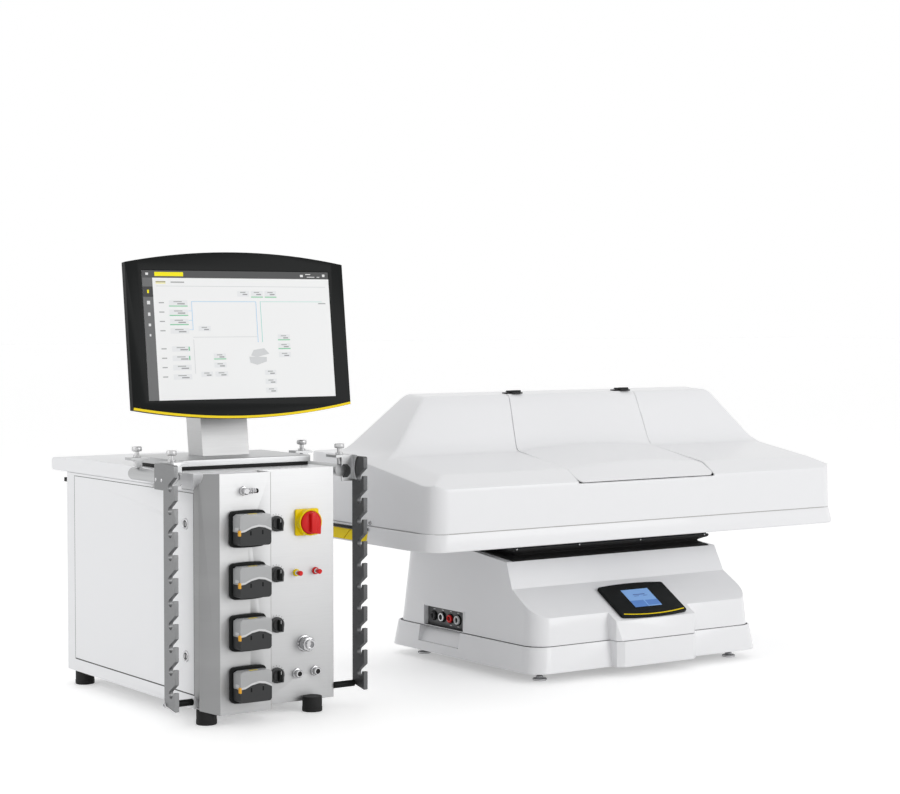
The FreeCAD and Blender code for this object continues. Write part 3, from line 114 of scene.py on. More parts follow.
class Finish:
    """A procedural material on the piece's own coordinates, in metres."""

    def __init__(self, name, color, roughness, metallic=0.0, coat=0.0, shine=0.5):
        self.material = bpy.data.materials.new(name)
        self.material.use_nodes = True
        self.tree = self.material.node_tree
        self.shader = self.tree.nodes["Principled BSDF"]
        self.place = self.node("ShaderNodeTexCoord", {}, {}, "Object")
        self.set("Base Color", (*color, 1))
        self.set("Roughness", roughness)
        self.set("Metallic", metallic)
        self.set("Coat Weight", coat)
        self.set("Specular IOR Level", shine)

    def node(self, kind, settings, values, output=0):
        """Adds a node: its settings first, then the values or links of its sockets."""
        made = self.tree.nodes.new(kind)
        for name, value in settings.items():
            setattr(made, name, value)
        for name, value in values.items():
            self.join(made.inputs[name], value)
        return Wire(self, made.outputs[output])

    def join(self, socket, value):
        if isinstance(value, Wire):
            self.tree.links.new(value.socket, socket)
        else:
            socket.default_value = value

    def set(self, name, value):
        """A socket of the shader itself."""
        self.join(self.shader.inputs[name], value)

    def mix(self, factor, first, second):
        """Two colours or colour wires blended by a factor."""
        sockets = {0: factor, 6: rgba(first), 7: rgba(second)}
        return self.node("ShaderNodeMix", {"data_type": "RGBA"}, sockets, 2)

    def noise(self, scale, detail=3.0, stretch=(1, 1, 1), roughness=0.5):
        """Noise on the piece, finer along an axis whose stretch is larger."""
        spot = self.node("ShaderNodeMapping", {}, {"Vector": self.place, "Scale": stretch})
        return self.node("ShaderNodeTexNoise", {}, {"Vector": spot, "Scale": scale,
                                                    "Detail": detail, "Roughness": roughness})

    def axis(self, index):
        """The piece's x, y or z."""
        return self.node("ShaderNodeSeparateXYZ", {}, {0: self.place}, index)

    def bump(self, height, strength, distance):
        """Relief from a height wire."""
        relief = self.node("ShaderNodeBump", {},
                           {"Height": height, "Strength": strength, "Distance": distance})
        self.set("Normal", relief)
        return self


def rgba(color):
    """A plain colour with its alpha; a wire stays as it is."""
    return color if isinstance(color, Wire) else (*color, 1)




def shade(color, factor):
    """A colour made darker or lighter."""
    return tuple(part * factor for part in color)


def moulded(name, color, roughness, coat=0.0, shine=0.5, grain=900.0, depth=0.00003, drift=0.12):
    """Moulded plastic: a faint drift of colour and gloss, and a fine grain."""
    finish = Finish(name, color, roughness, coat=coat, shine=shine)
    finish.set("Base Color", finish.mix(finish.noise(3.0, 2.0) * drift, color, shade(color, 0.86)))
    finish.set("Roughness", finish.noise(70.0) * 0.05 + (roughness - 0.025))
    return finish.bump(finish.noise(grain, 2.0), 0.2, depth)


def brushed(name, color, roughness, stretch, depth=0.00002, metallic=1.0):
    """Brushed metal, its lines drawn across the axes with a large stretch."""
    finish = Finish(name, color, roughness, metallic=metallic)
    lines = finish.noise(420.0, 4.0, stretch, 0.7)
    bands = finish.noise(26.0, 2.0, stretch)
    finish.set("Base Color", finish.mix(lines * 0.35 + bands * 0.45, color, shade(color, 0.74)))
    finish.set("Roughness", lines * 0.16 + (roughness - 0.08))
    return finish.bump(lines, 0.22, depth)


def coated(name, color, roughness):
    """Powder coat: an orange-peel skin."""
    finish = Finish(name, color, roughness, coat=0.12)
    finish.set("Base Color", finish.mix(finish.noise(2.0, 2.0) * 0.12, color, shade(color, 0.86)))
    finish.set("Roughness", finish.noise(90.0) * 0.06 + (roughness - 0.03))
    return finish.bump(finish.noise(420.0, 2.0), 0.15, 0.00005)


def polished(name, color, roughness):
    """Polished or turned metal with faint handling marks."""
    finish = Finish(name, color, roughness, metallic=1.0)
    marks = finish.noise(90.0, 5.0)
    finish.set("Roughness", marks * 0.12 + (roughness - 0.04))
    finish.set("Base Color", finish.mix(marks * 0.5, color, shade(color, 0.8)))
    return finish


# Stretches of the noise: brush lines that lie level, and blasting that is even all round.
LEVEL_LINES = (0.03, 0.03, 1)
EVEN = (1, 1, 1)
# How fast painted shade darkens the front sheet towards its foot.
PAINTED_FOOT_SHADE_RATE = 2.1
# How far left of the front's edge the painted shade of the folded side starts.
PAINTED_FLANK_SHADE_MARGIN = 0.0004


def panel_steel():
    """Brushed front sheet with painted shade: darker towards the foot, and darker on the folded side
    at its left.
    """
    color = (0.71, 0.713, 0.718)
    finish = brushed("brushed panel steel", color, 0.44, LEVEL_LINES, metallic=0.6)
    # Painted shade: the front grows darker towards its foot.
    low = 1 - (finish.axis(2) * PAINTED_FOOT_SHADE_RATE).clamp()
    lines = finish.noise(420.0, 4.0, LEVEL_LINES, 0.7)
    # Painted shade: the folded side, left of the front's edge, takes darker colours.
    flank_shade_mask = finish.axis(0) < (TOWER.x - PAINTED_FLANK_SHADE_MARGIN)
    front = finish.mix(low * 0.55 + lines * 0.10, color, (0.26, 0.262, 0.265))
    bands = finish.noise(11.0, 3.0, (0.05, 0.05, 1)) * 0.8
    side = finish.mix(bands, (0.36, 0.362, 0.365), (0.24, 0.242, 0.244))
    finish.set("Base Color", finish.mix(flank_shade_mask, front, side))
    return finish


def printed(name, color):
    """A field of a lit screen under its glass."""
    finish = Finish(name, color, 0.30, coat=0.05, shine=0.12)
    finish.set("Base Color", finish.mix(finish.noise(9.0, 2.0) * 0.2, color, shade(color, 0.93)))
    return finish


FINISHES = {
    "white_coat": coated("white powder coat", (0.83, 0.835, 0.85), 0.38),
    "white_shell": moulded("white shell plastic", (0.835, 0.838, 0.852), 0.30, coat=0.2),
    "stainless": brushed("brushed stainless", (0.50, 0.505, 0.51), 0.36, LEVEL_LINES),
    "rack_grey": brushed("grey blasted plate", (0.255, 0.258, 0.262), 0.46, EVEN, 0.00004),
    "chrome": polished("polished chrome", (0.52, 0.52, 0.53), 0.14),
    "black_gloss": moulded("gloss black plastic", (0.013, 0.014, 0.014), 0.24, shine=0.05, drift=0),
    "black_matte": moulded("satin black plastic", (0.020, 0.020, 0.021), 0.45, shine=0.2),
    "screen": printed("screen glass", (0.84, 0.85, 0.85)),
    "pump_grey": moulded("silver grey plastic", (0.40, 0.405, 0.41), 0.36, coat=0.1),
    "yellow": moulded("yellow plastic", (0.94, 0.70, 0.0), 0.34, shine=0.15),
    "red": moulded("red plastic", (0.70, 0.008, 0.008), 0.34, shine=0.3),
}
RUBBER = moulded("black rubber", (0.017, 0.017, 0.017), 0.62, shine=0.2, grain=500.0, depth=0.0001)
DARK_GREY = moulded("dark grey plastic", (0.040, 0.041, 0.042), 0.42, shine=0.2)
SLATE = moulded("slate grey plate", (0.085, 0.086, 0.088), 0.4)
CHARCOAL = moulded("charcoal plastic", (0.052, 0.053, 0.054), 0.4, shine=0.25)
SATIN_STEEL = polished("satin turned steel", (0.60, 0.60, 0.605), 0.30)
# The right rack's plate: the same grey blasted plate, made darker as painted shade.
PAINTED_SHADE_RACK_PLATE = brushed("shaded blasted plate", (0.13, 0.132, 0.135), 0.5, EVEN, 0.00004)
STAND_STEEL = brushed("brushed stand steel", (0.62, 0.622, 0.625), 0.46, LEVEL_LINES, metallic=0.5)
# Grey: the hood's seal, and painted shade along the step between the two front panels.
GREY_SEAL_AND_STEP_SHADE = moulded("grey seal", (0.36, 0.35, 0.34), 0.6)
PALE_GREY = moulded("pale grey plastic", (0.62, 0.625, 0.63), 0.36, coat=0.1)
AMBER = moulded("amber plastic", (0.80, 0.38, 0.0), 0.28, coat=0.3)
# Near-black: the black socket's own colour, and painted shade in the base seam, the cover gaps, the
# lock slots and the display vents.
BLACK_AND_PAINTED_SHADE = moulded("dark seam", (0.030, 0.030, 0.031), 0.7)
DULL_STEEL = polished("dull turned steel", (0.42, 0.42, 0.425), 0.28)
PANEL_STEEL = panel_steel()


# ---- mesh helpers ----------------------------------------------------------------------------

SKIN_WALL = 0.003
# Corners closer than this, in metres, are one corner of a node, and flatter edges are no edges.
SAME_SPOT = 0.00001
FLAT_DEGREES = 0.4
# A bowed plate's edges that run through its thickness are longer than this, in millimetres.
THROUGH_LEAST = 5


def box_on(unit, node):
    """A CAD node's low and high corners in millimetres on a unit's own zero."""
    return [(Vector(corner) - unit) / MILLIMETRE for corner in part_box(node)]


def outer_face(node, side):
    """How far across the tower a node's face on one side stands."""
    low, high = box_on(TOWER, node)
    return low.x if side < 0 else high.x


def about(middle, half):
    """The two limits round a middle."""
    return middle - half, middle + half


def oblong(x, y, half_x, half_y):
    """A rectangle's corners round its middle."""
    return [(x + right * half_x, y + up * half_y)
            for right, up in ((-1, -1), (1, -1), (1, 1), (-1, 1))]


def ring_profile(inner, outer, start, end):
    """The closed profile of a plain ring."""
    return (inner, start), (inner, end), (outer, end), (outer, start), (inner, start)


def placed(name, data):
    """A new object in the scene."""
    made = bpy.data.objects.new(name, data)
    bpy.context.scene.collection.objects.link(made)
    return made


def copied(node):
    """A CAD node's shape as a bmesh, its loose triangles merged into whole faces."""
    bm = bmesh.new()
    bm.from_mesh(nodes[node].data)
    bmesh.ops.remove_doubles(bm, verts=bm.verts, dist=SAME_SPOT)
    bmesh.ops.dissolve_limit(bm, angle_limit=math.radians(FLAT_DEGREES), verts=bm.verts,
                             edges=bm.edges)
    return bm


def kept(bm, name, slot, finish=None, body="root", smooth=35.0):
    """A bmesh as a piece that rides on a body, shaded smooth up to an angle."""
    mesh = bpy.data.meshes.new(name)
    bm.to_mesh(mesh)
    bm.free()
    piece = placed(name, mesh)
    mesh.materials.append((finish or FINISHES[slot]).material)
    for face in mesh.polygons:
        face.use_smooth = True
    mesh.set_sharp_from_angle(angle=math.radians(smooth))
    if body:
        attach(piece, body)
    return piece


def edged(piece, width, segments=2, angle=30.0):
    """Rounds a piece's sharp edges with a modifier."""
    bevel = piece.modifiers.new("edges", "BEVEL")
    bevel.width = width
    bevel.segments = segments
    bevel.limit_method = "ANGLE"
    bevel.angle_limit = math.radians(angle)
    bevel.harden_normals = True
    return piece


def walled(piece):
    """Gives a skin its wall, inwards."""
    wall = piece.modifiers.new("wall", "SOLIDIFY")
    wall.thickness = SKIN_WALL
    wall.offset = -1
    return piece


def rounded(node, name, width, segments=2, finish=None):
    """Stands for a CAD node: the same shape with its edges rounded."""
    body = nodes[node]["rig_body"]
    piece = kept(copied(node), name, SLOT_OF[node], finish, body, 60.0)
    edged(piece, width, segments)
    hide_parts(node)


def bevel_edges(bm, edges, width, segments):
    if edges:
        bmesh.ops.bevel(bm, geom=edges, offset=width, offset_type="OFFSET", affect="EDGES",
                        segments=segments, profile=0.5, material=-1, clamp_overlap=True)


def creases(bm, wanted, degrees=20):
    """Edges whose faces meet at more than an angle and that a test picks."""
    sharp = math.radians(degrees)
    bm.normal_update()
    return [edge for edge in bm.edges
            if len(edge.link_faces) == 2 and edge.calc_face_angle() > sharp and wanted(edge)]


def grown_ring(bm, ring):
    """Extrudes a ring of edges where it lies: its new corners and the new ring."""
    grown = bmesh.ops.extrude_edge_only(bm, edges=ring)["geom"]
    corners = [item for item in grown if isinstance(item, bmesh.types.BMVert)]
    return corners, [item for item in grown if isinstance(item, bmesh.types.BMEdge)
                     and all(spot in corners for spot in item.verts)]


class Form:
    """A mesh in the making, in millimetres on one unit's own zero or on a place of that unit."""

    def __init__(self, unit, x=0, y=0, z=0):
        self.unit = unit + Vector((x, y, z)) * MILLIMETRE
        self.bm = bmesh.new()

    def soften(self, before, edge, segments=2):
        """Rounds the sharp edges of whatever was added last."""
        if edge:
            sharp = creases(self.bm, lambda line: line.verts[0] not in before, 30)
            bevel_edges(self.bm, sharp, edge, segments)
        return self

    def block(self, x, y, z, edge=0.0):
        """A block between two limits along each axis."""
        before = set(self.bm.verts)
        middle = Vector((x[0] + x[1], y[0] + y[1], z[0] + z[1])) / 2
        sizes = Matrix.Diagonal((x[1] - x[0], y[1] - y[0], z[1] - z[0], 1))
        bmesh.ops.create_cube(self.bm, size=1, matrix=Matrix.Translation(middle) @ sizes)
        return self.soften(before, edge)

    def rod(self, axis, radius, start, end, across=(0, 0), edge=0.0, sides=32):
        """A round bar along an axis."""
        before = set(self.bm.verts)
        bmesh.ops.create_cone(self.bm, cap_ends=True, segments=sides, radius1=radius,
                              radius2=radius, depth=end - start,
                              matrix=along(axis, (start + end) / 2, across))
        return self.soften(before, edge)

    def turned(self, axis, profile, sides=32, across=(0, 0), base=0.0, way=1):
        """A turned shape: pairs of radius and distance from a base one way along the axis."""
        matrix = along(axis, 0, across)
        spots = [self.bm.verts.new(matrix @ Vector((radius, 0, base + way * out)))
                 for radius, out in profile]
        lines = [self.bm.edges.new(pair) for pair in zip(spots, spots[1:])]
        bmesh.ops.spin(self.bm, geom=spots + lines, cent=matrix.translation, steps=sides,
                       axis=matrix.to_3x3() @ Vector((0, 0, 1)), angle=math.tau, use_merge=True)
        bmesh.ops.remove_doubles(self.bm, verts=self.bm.verts, dist=0.001)
        return self

    def slab(self, axis, outline, start, end, corner=0.0, edge=0.0, segments=6):
        """A flat outline pushed along an axis, its upright corners rounded by corner."""
        before = set(self.bm.verts)
        place = PLANES[axis]
        spots = [self.bm.verts.new(place(first, second, start)) for first, second in outline]
        face = self.bm.faces.new(spots)
        grown = bmesh.ops.extrude_face_region(self.bm, geom=[face])["geom"]
        far = {item for item in grown if isinstance(item, bmesh.types.BMVert)}
        bmesh.ops.translate(self.bm, verts=list(far), vec=Vector(place(0, 0, end - start)))
        if corner:
            uprights = [line for spot in spots for line in spot.link_edges
                        if line.other_vert(spot) in far]
            bevel_edges(self.bm, uprights, corner, segments)
        return self.soften(before, edge)

    def bowed_plate(self, axis, outline, start, end, bow, corner, edge):
        """A slab, its middle corners bowed and its end corners rounded by a width in segments."""
        self.slab(axis, outline, start, end)
        index = "XYZ".index(axis)
        reach = max(x for x, _ in outline) - 1
        for low, high, (width, segments) in ((-1, 0.01, bow), (reach, math.inf, corner)):
            uprights = [line for line in self.bm.edges
                        if all(low < abs(spot.co.x) < high for spot in line.verts)
                        and abs(line.verts[0].co[index] - line.verts[1].co[index]) > THROUGH_LEAST]
            bevel_edges(self.bm, uprights, width, segments)
        return self.soften((), edge, 3)

    def swung(self, axis, outline, centre, start, sweep, steps):
        """A small outline swung round a centre line along an axis, from one angle on."""
        matrix = along(axis, 0, centre)
        turn = matrix @ Matrix.Rotation(start, 4, "Z")
        spots = [self.bm.verts.new(turn @ Vector((radius, 0, place))) for radius, place in outline]
        face = self.bm.faces.new(spots)
        bmesh.ops.spin(self.bm, geom=[face], cent=matrix.translation, steps=steps,
                       axis=matrix.to_3x3() @ Vector((0, 0, 1)), angle=sweep)
        bmesh.ops.remove_doubles(self.bm, verts=self.bm.verts, dist=0.001)
        return self

    def moved(self, matrix):
        """Turns or shifts everything so far."""
        self.bm.transform(matrix)
        return self

    def open_piece(self, name, slot, finish=None, body="root", smooth=35.0):
        """The finished piece, set on its unit in metres, its faces turned as they are."""
        self.bm.transform(Matrix.Translation(self.unit) @ Matrix.Scale(MILLIMETRE, 4))
        return kept(self.bm, name, slot, finish, body, smooth)

    def piece(self, name, slot, finish=None, body="root", smooth=35.0, replaces=()):
        """The finished piece with its faces turned outwards."""
        bmesh.ops.recalc_face_normals(self.bm, faces=self.bm.faces)
        made = self.open_piece(name, slot, finish, body, smooth)
        if replaces:
            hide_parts(*replaces)
        return made


PLANES = {
    "X": lambda first, second, place: (place, first, second),
    "Y": lambda first, second, place: (first, place, second),
    "Z": lambda first, second, place: (first, second, place),
}


def along(axis, place, across):
    """The matrix that stands a shape made along Z on another axis."""
    turns = {"X": Matrix.Rotation(math.pi / 2, 4, "Y"), "Y": Matrix.Rotation(-math.pi / 2, 4, "X"),
             "Z": Matrix.Identity(4)}
    return Matrix.Translation(PLANES[axis](*across, place)) @ turns[axis]


# A cap screw's profile as shares of its radius.
SCREW_PROFILE = ((1, 0), (1, 0.45), (0.8, 0.72), (0.5, 0.78), (0.46, 0.3), (0, 0.3))


def cap_screw(form, axis, across, face, out, radius):
    """A round-headed socket screw whose head stands out from a face in one direction."""
    profile = [(radius * wide, radius * tall) for wide, tall in SCREW_PROFILE]
    form.turned(axis, profile, 20, across, face, out)


# ---- rocker: hood, lid and tray --------------------------------------------------------------

def least(first, second, width):
    """The lower of two heights, the turn between them rounded."""
    share = max(0.0, 1 - abs(first - second) / width)
    return min(first, second) - share * share * width / 4


def most(first, second, width):
    """The higher of two heights, the turn between them rounded."""
    return -least(-first, -second, width)


CELL = 5.0
HOOD_HALF, HOOD_DEEP, HOOD_CORNER = 520.6, 228.0, 40.0
HOOD_FOOT = 302.3
LEAN = 2.9
BEVEL_Y, BEVEL_Z = -192.0, 409.5
CREASE_Y, CREASE_Z = -25.0, 436.0
RIDGE_Y, RIDGE_Z = 15.0, 547.5
PEAK_Z, PEAK_BACK, PEAK_HALF = 552.5, 88.0, 372.0
FRONT_EDGE_Z, END_EDGE_Z = 386.0, 385.6
FLAT_RISE, FRONT_RISE, END_RISE, END_CLIMB = 0.1587, 0.653, 0.385, 0.158
PEAK_RISE, RIDGE_RISE, BACK_FALL, SIDE_FALL = 2.7875, 0.0685, 1.618, 1.116
SILL_Z = 382.8
LID_HALF, LID_RIDGE_HALF, LID_FRONT, LID_BACK = 175.0, 165.0, -229.4, 21.7
LID_GAP = 1.2
BEVEL_LIFT, CREASE_LIFT, BEVEL_DIP = 8.0, 9.5, 3.0
TRAY_HALF, TRAY_DEEP, TRAY_CORNER = 523.4, 230.9, 43
SEAL_LOW, SEAL_HIGH, SEAL_WALL = 301.6, 302.9, 1.2
# The walls' rings wait at this height while the lid's outline is cut.
WAITING_Z = -10
TOP_EDGES_ABOVE = 380


def hood_height(x, y):
    """The hood's top: the front and end bevels, the rising deck and the tent-shaped peak."""
    deck = least(BEVEL_Z + (y - BEVEL_Y) * FLAT_RISE, CREASE_Z, 3)
    deck = least(deck, FRONT_EDGE_Z + (y + HOOD_DEEP) * FRONT_RISE, 2.6)
    deck = least(deck, END_EDGE_Z + END_CLIMB * (y + 231) + END_RISE * (522 - abs(x)), 2.2)
    peak = least(CREASE_Z + (y - CREASE_Y) * PEAK_RISE, RIDGE_Z + (y - RIDGE_Y) * RIDGE_RISE, 17)
    peak = least(peak, PEAK_Z - (y - PEAK_BACK) * BACK_FALL, 12)
    peak = least(peak, PEAK_Z - (abs(x) - PEAK_HALF) * SIDE_FALL, 9)
    return most(deck, peak, 19)


def rounded_corner(spot, half, deep, corner, back=True):
    """Draws a rectangle's corner squares in to quarter rounds."""
    across = (abs(spot.x) - half + corner) / corner
    along_y = (abs(spot.y) - deep + corner) / corner
    if across > 0 and along_y > 0 and (back or spot.y < 0):
        pull = max(across, along_y) / math.hypot(across, along_y)
        spot.x = math.copysign(half - corner + across * pull * corner, spot.x)
        spot.y = math.copysign(deep - corner + along_y * pull * corner, spot.y)


def grid_form(half, deep):
    """A flat grid of small cells."""
    form = Form(ROCKER)
    columns, rows = round(2 * half / CELL), round(2 * deep / CELL)
    bmesh.ops.create_grid(form.bm, x_segments=columns, y_segments=rows, size=1,
                          matrix=Matrix.Diagonal((half, deep, 1, 1)))
    return form


def lid_half(y):
    """Half the lid's width, which narrows up the peak's front."""
    share = min(1.0, max(0.0, (y - CREASE_Y) / (RIDGE_Y - CREASE_Y)))
    return LID_HALF + (LID_RIDGE_HALF - LID_HALF) * share


def cut_lid_opening(bm, walls):
    """Cuts the grid along the lid's outline, with a gap, and takes out what lies inside."""
    back, half, ridge_half = (size + LID_GAP for size in (LID_BACK, LID_HALF, LID_RIDGE_HALF))
    narrowing = (LID_HALF - LID_RIDGE_HALF) / (RIDGE_Y - CREASE_Y)
    cuts = [((0, y, 0), (0, 1, 0)) for y in (back, CREASE_Y, RIDGE_Y)]
    for side in (-1, 1):
        cuts.append(((side * half, 0, 0), (1, 0, 0)))
        cuts.append(((side * ridge_half, 0, 0), (1, 0, 0)))
        cuts.append(((side * half, CREASE_Y, 0), (1, side * narrowing, 0)))

    def tops():
        return [face for face in bm.faces if not any(spot in walls for spot in face.verts)]

    for place, normal in cuts:
        faces = tops()
        area = {item for face in faces for item in (*face.verts, *face.edges)}
        bmesh.ops.bisect_plane(bm, geom=[*area, *faces], plane_co=place, plane_no=normal, dist=0.01)
    opening = []
    for face in tops():
        middle = face.calc_center_median()
        if middle.y < back and abs(middle.x) < lid_half(middle.y) + LID_GAP:
            opening.append(face)
    bmesh.ops.delete(bm, geom=opening, context="FACES")


def make_hood():
    """One thin moulded skin: soft at the peak, crisper along the walls, open under the lid."""
    form = grid_form(HOOD_HALF, HOOD_DEEP)
    bm = form.bm
    for spot in bm.verts:
        rounded_corner(spot.co, HOOD_HALF, HOOD_DEEP, HOOD_CORNER)
    rim = [edge for edge in bm.edges if edge.is_boundary]
    # How far below the top each ring of the walls lies or, from zero down, how far above the foot.
    drops = {}
    for drop in (7.0, 16.0, -2.0, 0.0):
        ring, rim = grown_ring(bm, rim)
        drops.update((spot, drop) for spot in ring)
    for spot in drops:
        spot.co.z = WAITING_Z
    cut_lid_opening(bm, drops)
    for spot in bm.verts:
        x, y = spot.co.x, spot.co.y
        if spot in drops:
            corner = Vector((math.copysign(max(0, abs(x) - HOOD_HALF + HOOD_CORNER), x),
                             math.copysign(max(0, abs(y) - HOOD_DEEP + HOOD_CORNER), y), 0))
            top = min(hood_height(x, y), CREASE_Z)
            drop = drops[spot] if drops[spot] > 0 else top - HOOD_FOOT + drops[spot]
            spot.co = spot.co + corner.normalized() * LEAN * drop / (top - HOOD_FOOT)
            spot.co.z = top - drop
        elif y < -HOOD_DEEP + 0.1 and abs(x) < LID_HALF + LID_GAP - 0.1:
            spot.co.z = SILL_Z
        else:
            spot.co.z = hood_height(x, y)
    bmesh.ops.recalc_face_normals(bm, faces=bm.faces)
    if sum(face.normal.z for face in bm.faces) < 0:
        bmesh.ops.reverse_faces(bm, faces=bm.faces)
    tops = creases(bm, lambda edge: all(spot.co.z > TOP_EDGES_ABOVE for spot in edge.verts))
    bevel_edges(bm, tops, 2.2, 3)
    piece = form.open_piece("hood_shell", "white_shell", None, "rocker", 50.0)
    walled(piece)
    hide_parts("hood")
    seal = Form(ROCKER)
    seal.slab("Z", oblong(0, 0, TRAY_HALF, TRAY_DEEP), SEAL_LOW, SEAL_HIGH, corner=TRAY_CORNER,
              segments=14)
    caps = [face for face in seal.bm.faces if abs(face.normal.z) > 0.9]
    bmesh.ops.delete(seal.bm, geom=caps, context="FACES")
    bmesh.ops.solidify(seal.bm, geom=seal.bm.faces, thickness=SEAL_WALL)
    seal.piece("hood_seal", "black_matte", GREY_SEAL_AND_STEP_SHADE, "rocker", 50.0)


def make_lid():
    """The folding middle of the hood, pillowed: its crease and its front bevel rise in arches."""
    deep = (LID_BACK - LID_FRONT) / 2
    form = grid_form(LID_HALF, deep)
    for spot in form.bm.verts:
        rounded_corner(spot.co, LID_HALF, deep, 12.0, back=False)
        spot.co.y += LID_FRONT + deep
        spot.co.x *= lid_half(spot.co.y) / LID_HALF
    for spot in form.bm.verts:
        x, y = spot.co.x, spot.co.y
        arch = 1 - (x / LID_HALF) ** 2
        bevel_lift = BEVEL_LIFT * arch - BEVEL_DIP * (1 - arch)
        crease_lift = CREASE_LIFT * arch
        if y < BEVEL_Y:
            lift = bevel_lift * (y - LID_FRONT) / (BEVEL_Y - LID_FRONT)
        elif y < CREASE_Y:
            lift = bevel_lift + (crease_lift - bevel_lift) * (y - BEVEL_Y) / (CREASE_Y - BEVEL_Y)
        else:
            lift = crease_lift * max(0.0, 1 - (y - CREASE_Y) / (RIDGE_Y - CREASE_Y))
        spot.co.z = hood_height(x, y) + LID_GAP + lift
    form.bm.normal_update()
    piece = form.open_piece("hood_lid_shell", "white_shell", None, "lid", 60.0)
    edged(walled(piece), 0.0006, 2, 60.0)
    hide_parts("hood_lid")


def make_lid_hinges():
    """A stepped black leaf on the ridge and a small one on the lid, round each hinge's barrel."""
    rear, front, screws = Form(ROCKER), Form(ROCKER), Form(ROCKER)
    for x in (-143, 143):
        rear.block(about(x, 18), (25, 46), (547.4, 551.6), 0.9)
        rear.block(about(x, 12.5), (25, 41), (551, 555.4), 1.2)
        rear.rod("X", 2.5, *about(x, 12.5), (23.5, 553.9), 0.4)
        front.block(about(x, 12), (14.5, 21), (549.2, 552.2), 0.8)
        for screw_x in about(x, 15):
            cap_screw(screws, "Z", (screw_x, 36), 551.5, 1, 1.8)
    satin = FINISHES["black_matte"]
    rear.piece("hinge_blocks", "black_gloss", satin, "rocker", replaces=["lid_hinges"])
    front.piece("hinge_lid_leaves", "black_gloss", satin, "lid")
    screws.piece("hinge_screws", "chrome", DULL_STEEL, "rocker")


def make_tray():
    """The tray with its rolled edges, the yellow gate and the dark strip above it."""
    bm = copied("tray")
    low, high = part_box("tray")
    middle = Vector((ROCKER.x, ROCKER.y, high.z + 0.01))
    bm.normal_update()
    outside = {face for face in bm.faces if face.normal.dot(face.calc_center_median() - middle) > 0}
    foot = creases(bm, lambda edge: all(face in outside for face in edge.link_faces)
                   and max(spot.co.z for spot in edge.verts) < low.z + 0.002)
    bevel_edges(bm, foot, 0.004, 3)
    piece = kept(bm, "tray_shell", "white_shell", None, "rocker", 50.0)
    edged(piece, 0.0008, 2, 40.0)
    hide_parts("tray")
    rounded("tube_gate", "tube_gate_leaves", 0.0006)
    start, end = box_on(ROCKER, "tube_gate")
    left = box_on(ROCKER, "tray")[0].x
    strip = Form(ROCKER)
    strip.block((left + 0.2, left + 2.6), (start.y - 3, end.y + 3), (293.2, 299.2), 0.5)
    strip.piece("gate_seal", "black_matte", RUBBER, "rocker")


def make_hood_screws():
    """The socket screws that hold the hood to the tray, low on its walls."""
    height, radius = 309, 4.2
    screws = Form(ROCKER)
    for side in (-1, 1):
        for y in (-17, 150):
            cap_screw(screws, "X", (y, height), side * 523.0, side, radius)
    for x in (-380, -130, 130, 380):
        cap_screw(screws, "Y", (x, height), 230.6, 1, radius)
    screws.piece("hood_screws", "chrome", body="rocker")


# ---- rocker: base ----------------------------------------------------------------------------

SEAM_HALF, SEAM_FRONT, SEAM_INSET = 281, -226, 5
SEAM_HEIGHTS = (69, 72.4)


def make_base():
    """The two shells of the base with eased edges, and a dark band of painted shade in the seam
    between them.
    """
    rounded("base_upper_shell", "base_casing", 0.0042, 3)
    rounded("base_lower_shell", "base_tub", 0.0022, 3)
    back = box_on(ROCKER, "base_upper_shell")[1].y - SEAM_INSET
    outline = oblong(0, (SEAM_FRONT + back) / 2, SEAM_HALF, (back - SEAM_FRONT) / 2)
    # Painted shade: a dark band inset in the seam between the shells.
    seam = Form(ROCKER)
    seam.slab("Z", outline, *SEAM_HEIGHTS, corner=50, segments=14)
    seam.block((-96, 96), (-254, -200), SEAM_HEIGHTS, 3)
    seam.piece("base_seam_shade", "black_matte", BLACK_AND_PAINTED_SHADE)


BAY_OUTER, BAY_INNER, PLATE_FACE = -285.0, -272.0, -274.5
BAY_FRONT, BAY_BACK, BAY_LOW, BAY_HIGH = 9.0, 149.0, 72.0, 111.0
# Round sockets from back to front: name, finish, slot, place along the bay and outer radius.
ROUND_SOCKETS = (
    ("socket_black", BLACK_AND_PAINTED_SHADE, "black_matte", 125, 8), ("socket_chrome", None, "chrome", 95, 9),
    ("socket_red", None, "red", 66, 8), ("socket_grey", PALE_GREY, "rack_grey", 40, 9),
)
SOCKET_MARKS = ((40, 14), (66, 14.5), (95, 14), (125, 13.5), (40, -14), (66, -14))


